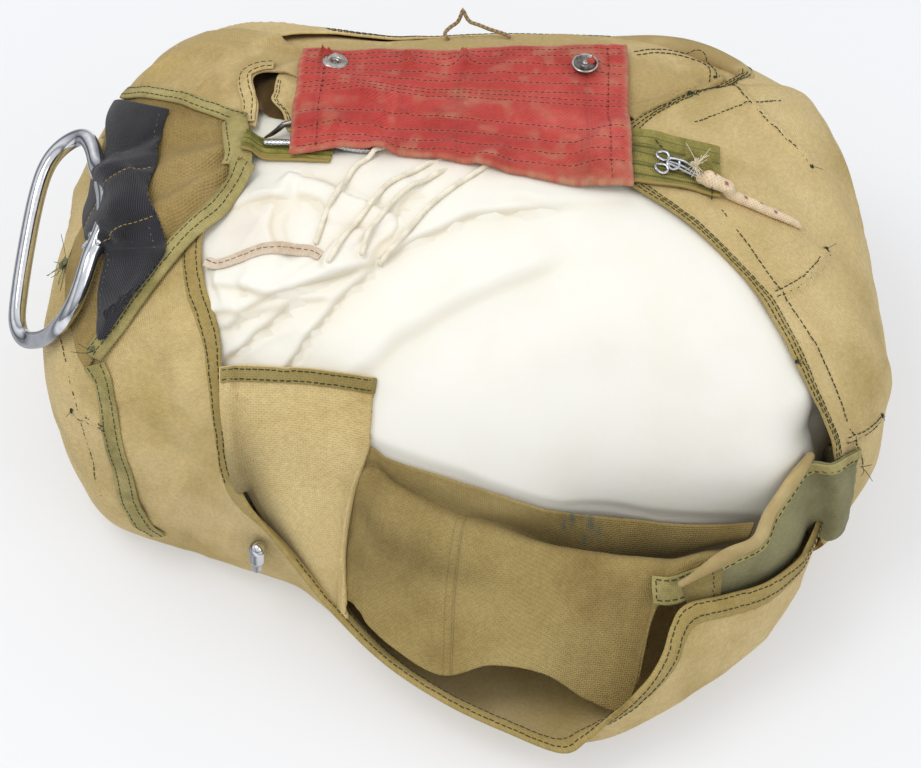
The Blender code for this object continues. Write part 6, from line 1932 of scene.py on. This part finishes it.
seamTape = ((205.5, .560), (208.2, .541), (211.1, .478), (213.1, .405), (213.9, .319),
            (215.6, .225))    # angle, share
layTape("left_seam_tape_strip", seamTape, 9.0, 1.2, oliveTape, crown=0.3, ripple=0.8, seed=56,
        seams=(-2.8, 3.0), gap=0.3, node="left_seam_tape", slot="seam_tape")

baseLook = wovenCloth("stiffened_canvas_base", {**canvasLook, "base": "#A8925F", "tape": None,
                                                "flat": True})
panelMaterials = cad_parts["base_panel"].data.materials
panelMaterials.clear()
panelMaterials.append(baseLook)
print("small parts made")

# ---- tapes, hems and sewn lines


# A patch of tape on a grid, over fractional columns and rows given as two tables.
def patchOn(name, grid, up, i, j, thick, look, slot, crown=0.1):
    face, out = sampled(grid, i, j), unit(sampled(up, i, j))
    bow = crown * np.sin(np.linspace(0, math.pi, face.shape[1]))[None, :, None]
    rise = 0.1    # mm, its own gap over the cloth
    outer = face + out * (rise + thick + bow) * mm
    closedCloth(name, outer, face + out * rise * mm, look, slot=slot)
    return outer, out


# A sewn row beside the rim of the wall, at a distance (mm) from it, over some of its columns.
def hemRow(columns, distance, inner=False):
    grid = wallIn if inner else wallOut
    up = -wallUp if inner else wallUp
    sewOn("dark", grid, up, columns, rowAt(grid, columns, distance, True), astray=0.12)


rimTurn = fromRight(planPolar(wallOut[:, -1, 0], wallOut[:, -1, 1])[0])
wallColumns = np.arange(wall["columns"])
frontLeft = wallColumns[(rimTurn > 190) & (rimTurn < 229) & (wallAt < closedCount)]
tray = wallColumns[wallAt > closedCount + 1.0]
rightRim = wallColumns[(wallAt < 26) & (wallAt > 0.5)]
for distance in (1.5, wall["hem"] - 1.6):
    hemRow(frontLeft, distance)
    hemRow(tray, distance)
    hemRow(tray, distance, inner=True)
for distance in (1.5, 5.4, 8.6):
    hemRow(rightRim, distance)

# Stitches along a line of the form, some way aside of it (mm), on top of what lies there.
def sewForm(rows, aside):
    centre, up, side = lineFrame(rows, 60)
    angle, share, _ = formPlace(centre + side * aside * mm)
    sew("dark", onForm(angle, share, whatLies(angle, share, 0.0002) + 0.1 * mm), up,
        gap=0.45, radius=0.28, astray=0.12)


# Seams and darts of the wall: line on the form, how far aside of it each sewn row runs (mm).
seamLines = (
    (((196.3, .533), (205.1, .485), (209.9, .382), (212.2, .281)), (-4.6,)),
    (((204.1, .437), (210.7, .475)), (-1.2, 1.4)),
    (((-23.8, .710), (-8.3, .615)), (-1.5, 1.5)),
    (((-31.9, .480), (-24.4, .433)), (-1.5, 1.5)),
    (((25.6, .695), (17.1, .671), (8.1, .606)), (-1.5, 1.6)),
    (((8.4, .843), (-4.5, .809), (-18.6, .737), (-26.1, .647), (-30.4, .519), (-29.8, .400)), (0,)),
    (((16, .786), (19.4, .725), (20.7, .689), (22, .614)), (0,)),
    (((42.8, .727), (38, .670), (33.6, .662), (27.6, .712)), (-1.6, 1.8)),
)
for rows, asides in seamLines:
    for aside in asides:
        sewForm(rows, aside)

wingHem = wovenCloth("khaki_half_panama_hem", {**innerLook, "base": "#A8965C", "light": "#B5A268",
                                              "dark": "#8E7C46", "hollow": None, "marks": None})
across = np.linspace(0, 1, 8)
# The wing's hem is a doubled strip along its top edge, sewn round as a long rectangle.
i = np.linspace(1.0, innerFlap["wingCells"] - 1, 150)[:, None] + 0 * across
j = np.stack([rowAt(wingOuter, i[:, 0], -0.2 + 7.0 * s) for s in across], 1)
hemOuter, hemUp = patchOn("inner_flap_wing_hem", wingOuter, wingUp, i, j, 0.9, wingHem,
                          "inner_flap_canvas")
for at in (1.0, 5.9):
    sewOn("dark", hemOuter, hemUp, np.linspace(0, 144, 80), at, astray=0.1)
sewOn("dark", hemOuter, hemUp, 143.5, np.linspace(1.3, 5.7, 12), length=2.4, gap=0.8)

# Doubled strip at the right end of the long cloth, dark and sewn round.
endStrip = {
    "columns": 40, "rows": 90, "lift": 0.8, "thickness": 1.0,
    # points along its upper edge, middle and lower edge (mm)
    "points": (((89, -139, 82), (97, -139.5, 82), (106, -136, 81), (114, -132, 81),
                (121, -128, 80)),
               ((89, -143, 79), (97, -144.0, 78), (106, -141, 79), (114, -136, 78.5),
                (121, -132, 78)),
               ((90, -148, 73), (98, -148.5, 73), (107, -146, 75), (114, -142, 76),
                (120, -138, 76.5))),
}
stripInner = loft(endStrip["points"], endStrip["columns"], endStrip["rows"])
stripUp = gridAbove(stripInner, 20, 45)
stripInner = stripInner + stripUp * endStrip["lift"] * mm
u, v = np.linspace(0, 3, endStrip["columns"])[:, None], np.linspace(0, 5, endStrip["rows"])[None]
stripOuter = stripInner + stripUp * (endStrip["thickness"] + 0.3 * drift(u, v, 58))[..., None] * mm
closedCloth("inner_flap_end_strip", stripOuter, stripInner, oliveTape, skip=3,
            slot="inner_flap_canvas")
for at in (5.0, 34.0):
    sewOn("dark", stripOuter, stripUp, at, np.linspace(3, 86, 60), length=2.8, gap=0.6, astray=0.1)
for at in (4, 85):
    sewOn("dark", stripOuter, stripUp, np.linspace(5, 34, 12), at, length=2.2, gap=0.5)
# Gusset: a doubled edge along its top.
i = np.linspace(0.5, 108.5, 110)[:, None] + 0 * across
j = np.stack([rowAt(gussetOuter, i[:, 0], -0.3 + 6.5 * s, True) for s in across], 1)
edgeOuter, edgeUp = patchOn("gusset_top_hem", gussetOuter, gussetUp, i, j, 0.9, oliveTape,
                            "gusset_cloth")
sewOn("dark", edgeOuter, edgeUp, np.linspace(2, 106, 60), 5.6, length=2.4, gap=1.2, radius=0.3)
# Its left edge is bound with frayed tape, and a fold of the tan wall lies along its top.
i = (0.3 + 14.0 * across)[None] + 0 * np.linspace(0, 1, 90)[:, None]
j = np.linspace(0.3, 48.7, 90)[:, None] + 0 * across
boundOuter, boundUp = patchOn("gusset_edge_binding", gussetOuter, gussetUp, i, j, 1.3, wingHem,
                              "gusset_cloth", crown=0.8)
sewOn("dark", boundOuter, boundUp, np.linspace(2, 86, 60), 5.4, length=2.2, gap=0.8, radius=0.26)
foldLine = highEdge[:88]
foldLine = foldLine + (formUp(*formPlace(foldLine)[:2]) * 1.5 + (-0.4, 0.5, 0.8)) * mm
foldWide = 2.9 + 0.8 * drift(np.linspace(0, 6, len(foldLine)), 0, 59)
foldWide = foldWide * (0.55 + 0.45 * smooth(0, 0.2, np.linspace(0, 1, len(foldLine))))
rodMesh("gusset_rolled_fold", foldLine, viewUp, foldWide, flapCanvas, sides=20, slot="gusset_cloth")
print("hems and seams sewn")

# ---- loose threads, frays and knots


# Many thin threads as one mesh: paths (count, points, 3), each with its own radius in mm.
def strands(name, paths, radii, look, slot):
    sides, radii = stitch["sides"], radii[:, None, None, None] * mm
    step = unit(np.gradient(paths, axis=1))
    side = unit(np.cross(step, (0.31, 0.22, 0.93)))
    high = np.cross(side, step)
    turn = np.linspace(0, 2 * math.pi, sides, endpoint=False)
    thin = np.ones(paths.shape[1])
    thin[[0, -1]] = 0.35
    rings = paths[:, :, None] + radii * thin[None, :, None, None] * (
        side[:, :, None] * np.cos(turn)[None, None, :, None]
        + high[:, :, None] * np.sin(turn)[None, None, :, None])
    n, k = paths.shape[:2]
    base = np.arange(k * sides).reshape(k, sides)
    after = np.roll(base, -1, 1)
    quads = np.stack([base[:-1], base[1:], after[1:], after[:-1]], -1).reshape(-1, 4)
    offset = (np.arange(n) * k * sides)[:, None, None]
    faces = (quads[None] + offset).reshape(-1, 4).tolist() \
        + (np.array((base[0], base[-1, ::-1]))[None] + offset).reshape(-1, sides).tolist()
    return addPiece(name, rings.reshape(-1, 3), faces, look, slot=slot)


strandPoints = 26


# Frayed tuft: threads that leave one place in a cone about a direction and curl.
def tuft(place, way, count, length, spread, curl):
    headings = unit(unit(np.asarray(way, float)) + chance.normal(0, spread, (count, 3)))
    bends = chance.normal(0, curl, (count, 3))
    t = np.linspace(0, 1, strandPoints)[None, :, None]
    size = (length * chance.uniform(0.45, 1.15, count) * mm)[:, None, None]
    starts = place + chance.normal(0, 0.35 * mm, (count, 3))
    return starts[:, None] + headings[:, None] * t * size + bends[:, None] * t ** 2 * size


# Knot of thread: a short line wound two and a half times round a place, rising and falling.
def knot(place, up, size):
    up, right, back = axesRound(up, (0.2, 1, 0.1))
    t = np.linspace(0, 1, strandPoints)[:, None]
    turns = 2 * math.pi * (2.5 * t + chance.uniform())
    wound = (right * np.cos(turns) + back * np.sin(turns)) * size * mm \
        * (0.75 + 0.25 * np.sin(7 * t))
    return (place + wound + up * (0.25 + 0.4 * np.abs(np.sin(turns * 1.5))) * size * mm)[None]


# Place and normal on top of what lies at an angle and height share of the form.
def onTop(angle, share, rise=0.2):
    lift = whatLies(np.array(angle), np.array(share), 0.0006) + rise * mm
    return onForm(angle, share, lift), formUp(angle, share)


# Sewing thread: waxed cotton, a matt round strand with a slight gleam and a twist that darkens it.
def sewingThread(name, base, dark):
    made, tree, shader = newMaterial(name, {"Roughness": 0.72, "Specular IOR Level": 0.35})
    place = addNode(tree, "TexCoord")
    grain = noise(tree, (place, 3), 0.8, 3.0)
    tone = ramp(tree, (grain, 0), (0.35, dark), (0.62, base))
    finished(tree, shader, tone.outputs[0])
    return made


threadLooks = {key: sewingThread(f"{key}_sewing_thread", *pair) for key, pair in {
    "dark": ("#39402A", "#1F2418"), "tan": ("#B39A62", "#8C7443"), "grey": ("#7C7568", "#57524A"),
    "brown": ("#6A2E2A", "#421C1B"), "pink": ("#A97C6C", "#85584C"),
    "cream": ("#F0E6CC", "#D3C4A0"), "moss": ("#7E8360", "#565A40")}.items()}

# Knots where darts end, and at the ends of hems: angle, share, size, colour.
knots = ((8.1, .606, 1.5, "dark"), (-8.3, .615, 1.4, "dark"), (-24.4, .433, 1.5, "dark"),
         (204.1, .437, 1.3, "dark"), (27.6, .712, 1.3, "dark"), (24.1, .772, 1.4, "dark"),
         (-31.5, .640, 1.2, "dark"), (204.6, .585, 1.4, "moss"), (181.0, .815, 1.2, "tan"))
loose = {}


# Keeps threads of one radius (mm) for their colour's mesh.
def addLoose(colour, paths, radius):
    loose.setdefault(colour, []).append((paths, radius))


for angle, share, size, colour in knots:
    at, up = onTop(angle, share)
    addLoose(colour, knot(at, up, size * 0.75), 0.26)
    addLoose(colour, tuft(at, up + (0.9, -0.6, -0.6), 3, 4.0, 0.6, 0.5), 0.14)

# A frayed green knot behind the handle, with long threads that lie on the cloth.
at, up = onTop(187.2, .537, 1.2)
addLoose("moss", knot(at, up, 3.2), 0.5)
addLoose("moss", knot(at + up * 0.8 * mm, up, 2.2), 0.5)
addLoose("moss", tuft(at, (-0.9, -0.3, -0.2), 8, 16.0, 0.45, 0.35), 0.17)
addLoose("moss", tuft(at, (0.7, 0.6, 0.3), 5, 10.0, 0.4, 0.4), 0.17)
# Loose ends where sewn lines stop: angle, share, direction.
for angle, share, way in ((25.0, .700, (0.9, -0.3, 0.1)), (330.0, .40, (0.8, -0.2, 0.1)),
                          (205.0, .585, (-0.4, -0.8, 0.1))):
    at, up = onTop(angle, share)
    addLoose("dark", tuft(at, np.array(way) + up * 0.4, 3, 9.0, 0.3, 0.4), 0.16)

# Frayed heart of the cut bungee, its rubber cords gone: a cream tuft at the head of the cord.
at, _ = onTop(*[float(k) for k in planPlace(107.4, 21.6)], rise=2.4)
for way, count, length, spread, curl in (((-0.75, 0.25, 0.5), 40, 3.0, 0.6, 0.5),
                                         ((-0.3, -1, -0.1), 26, 5.2, 0.4, 0.4),
                                         ((0.5, 1, 0.1), 20, 6.0, 0.35, 0.4)):
    addLoose("cream", tuft(at, way, count, length, spread, curl), 0.15)

for colour, parts in loose.items():
    paths = np.concatenate([part for part, _ in parts])
    radii = np.concatenate([np.full(len(part), radius) for part, radius in parts])
    strands(f"loose_{colour}_threads", paths, radii, threadLooks[colour], "pack_canvas")
print("loose threads made")

# ---- stitches, one mesh for each colour of thread

for colour in threads:
    stitchPiece(f"stitches_{colour}", colour, threadLooks[colour], "pack_canvas")
print("stitches made")

# ---- last: the bounds of the shown pieces

low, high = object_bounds()
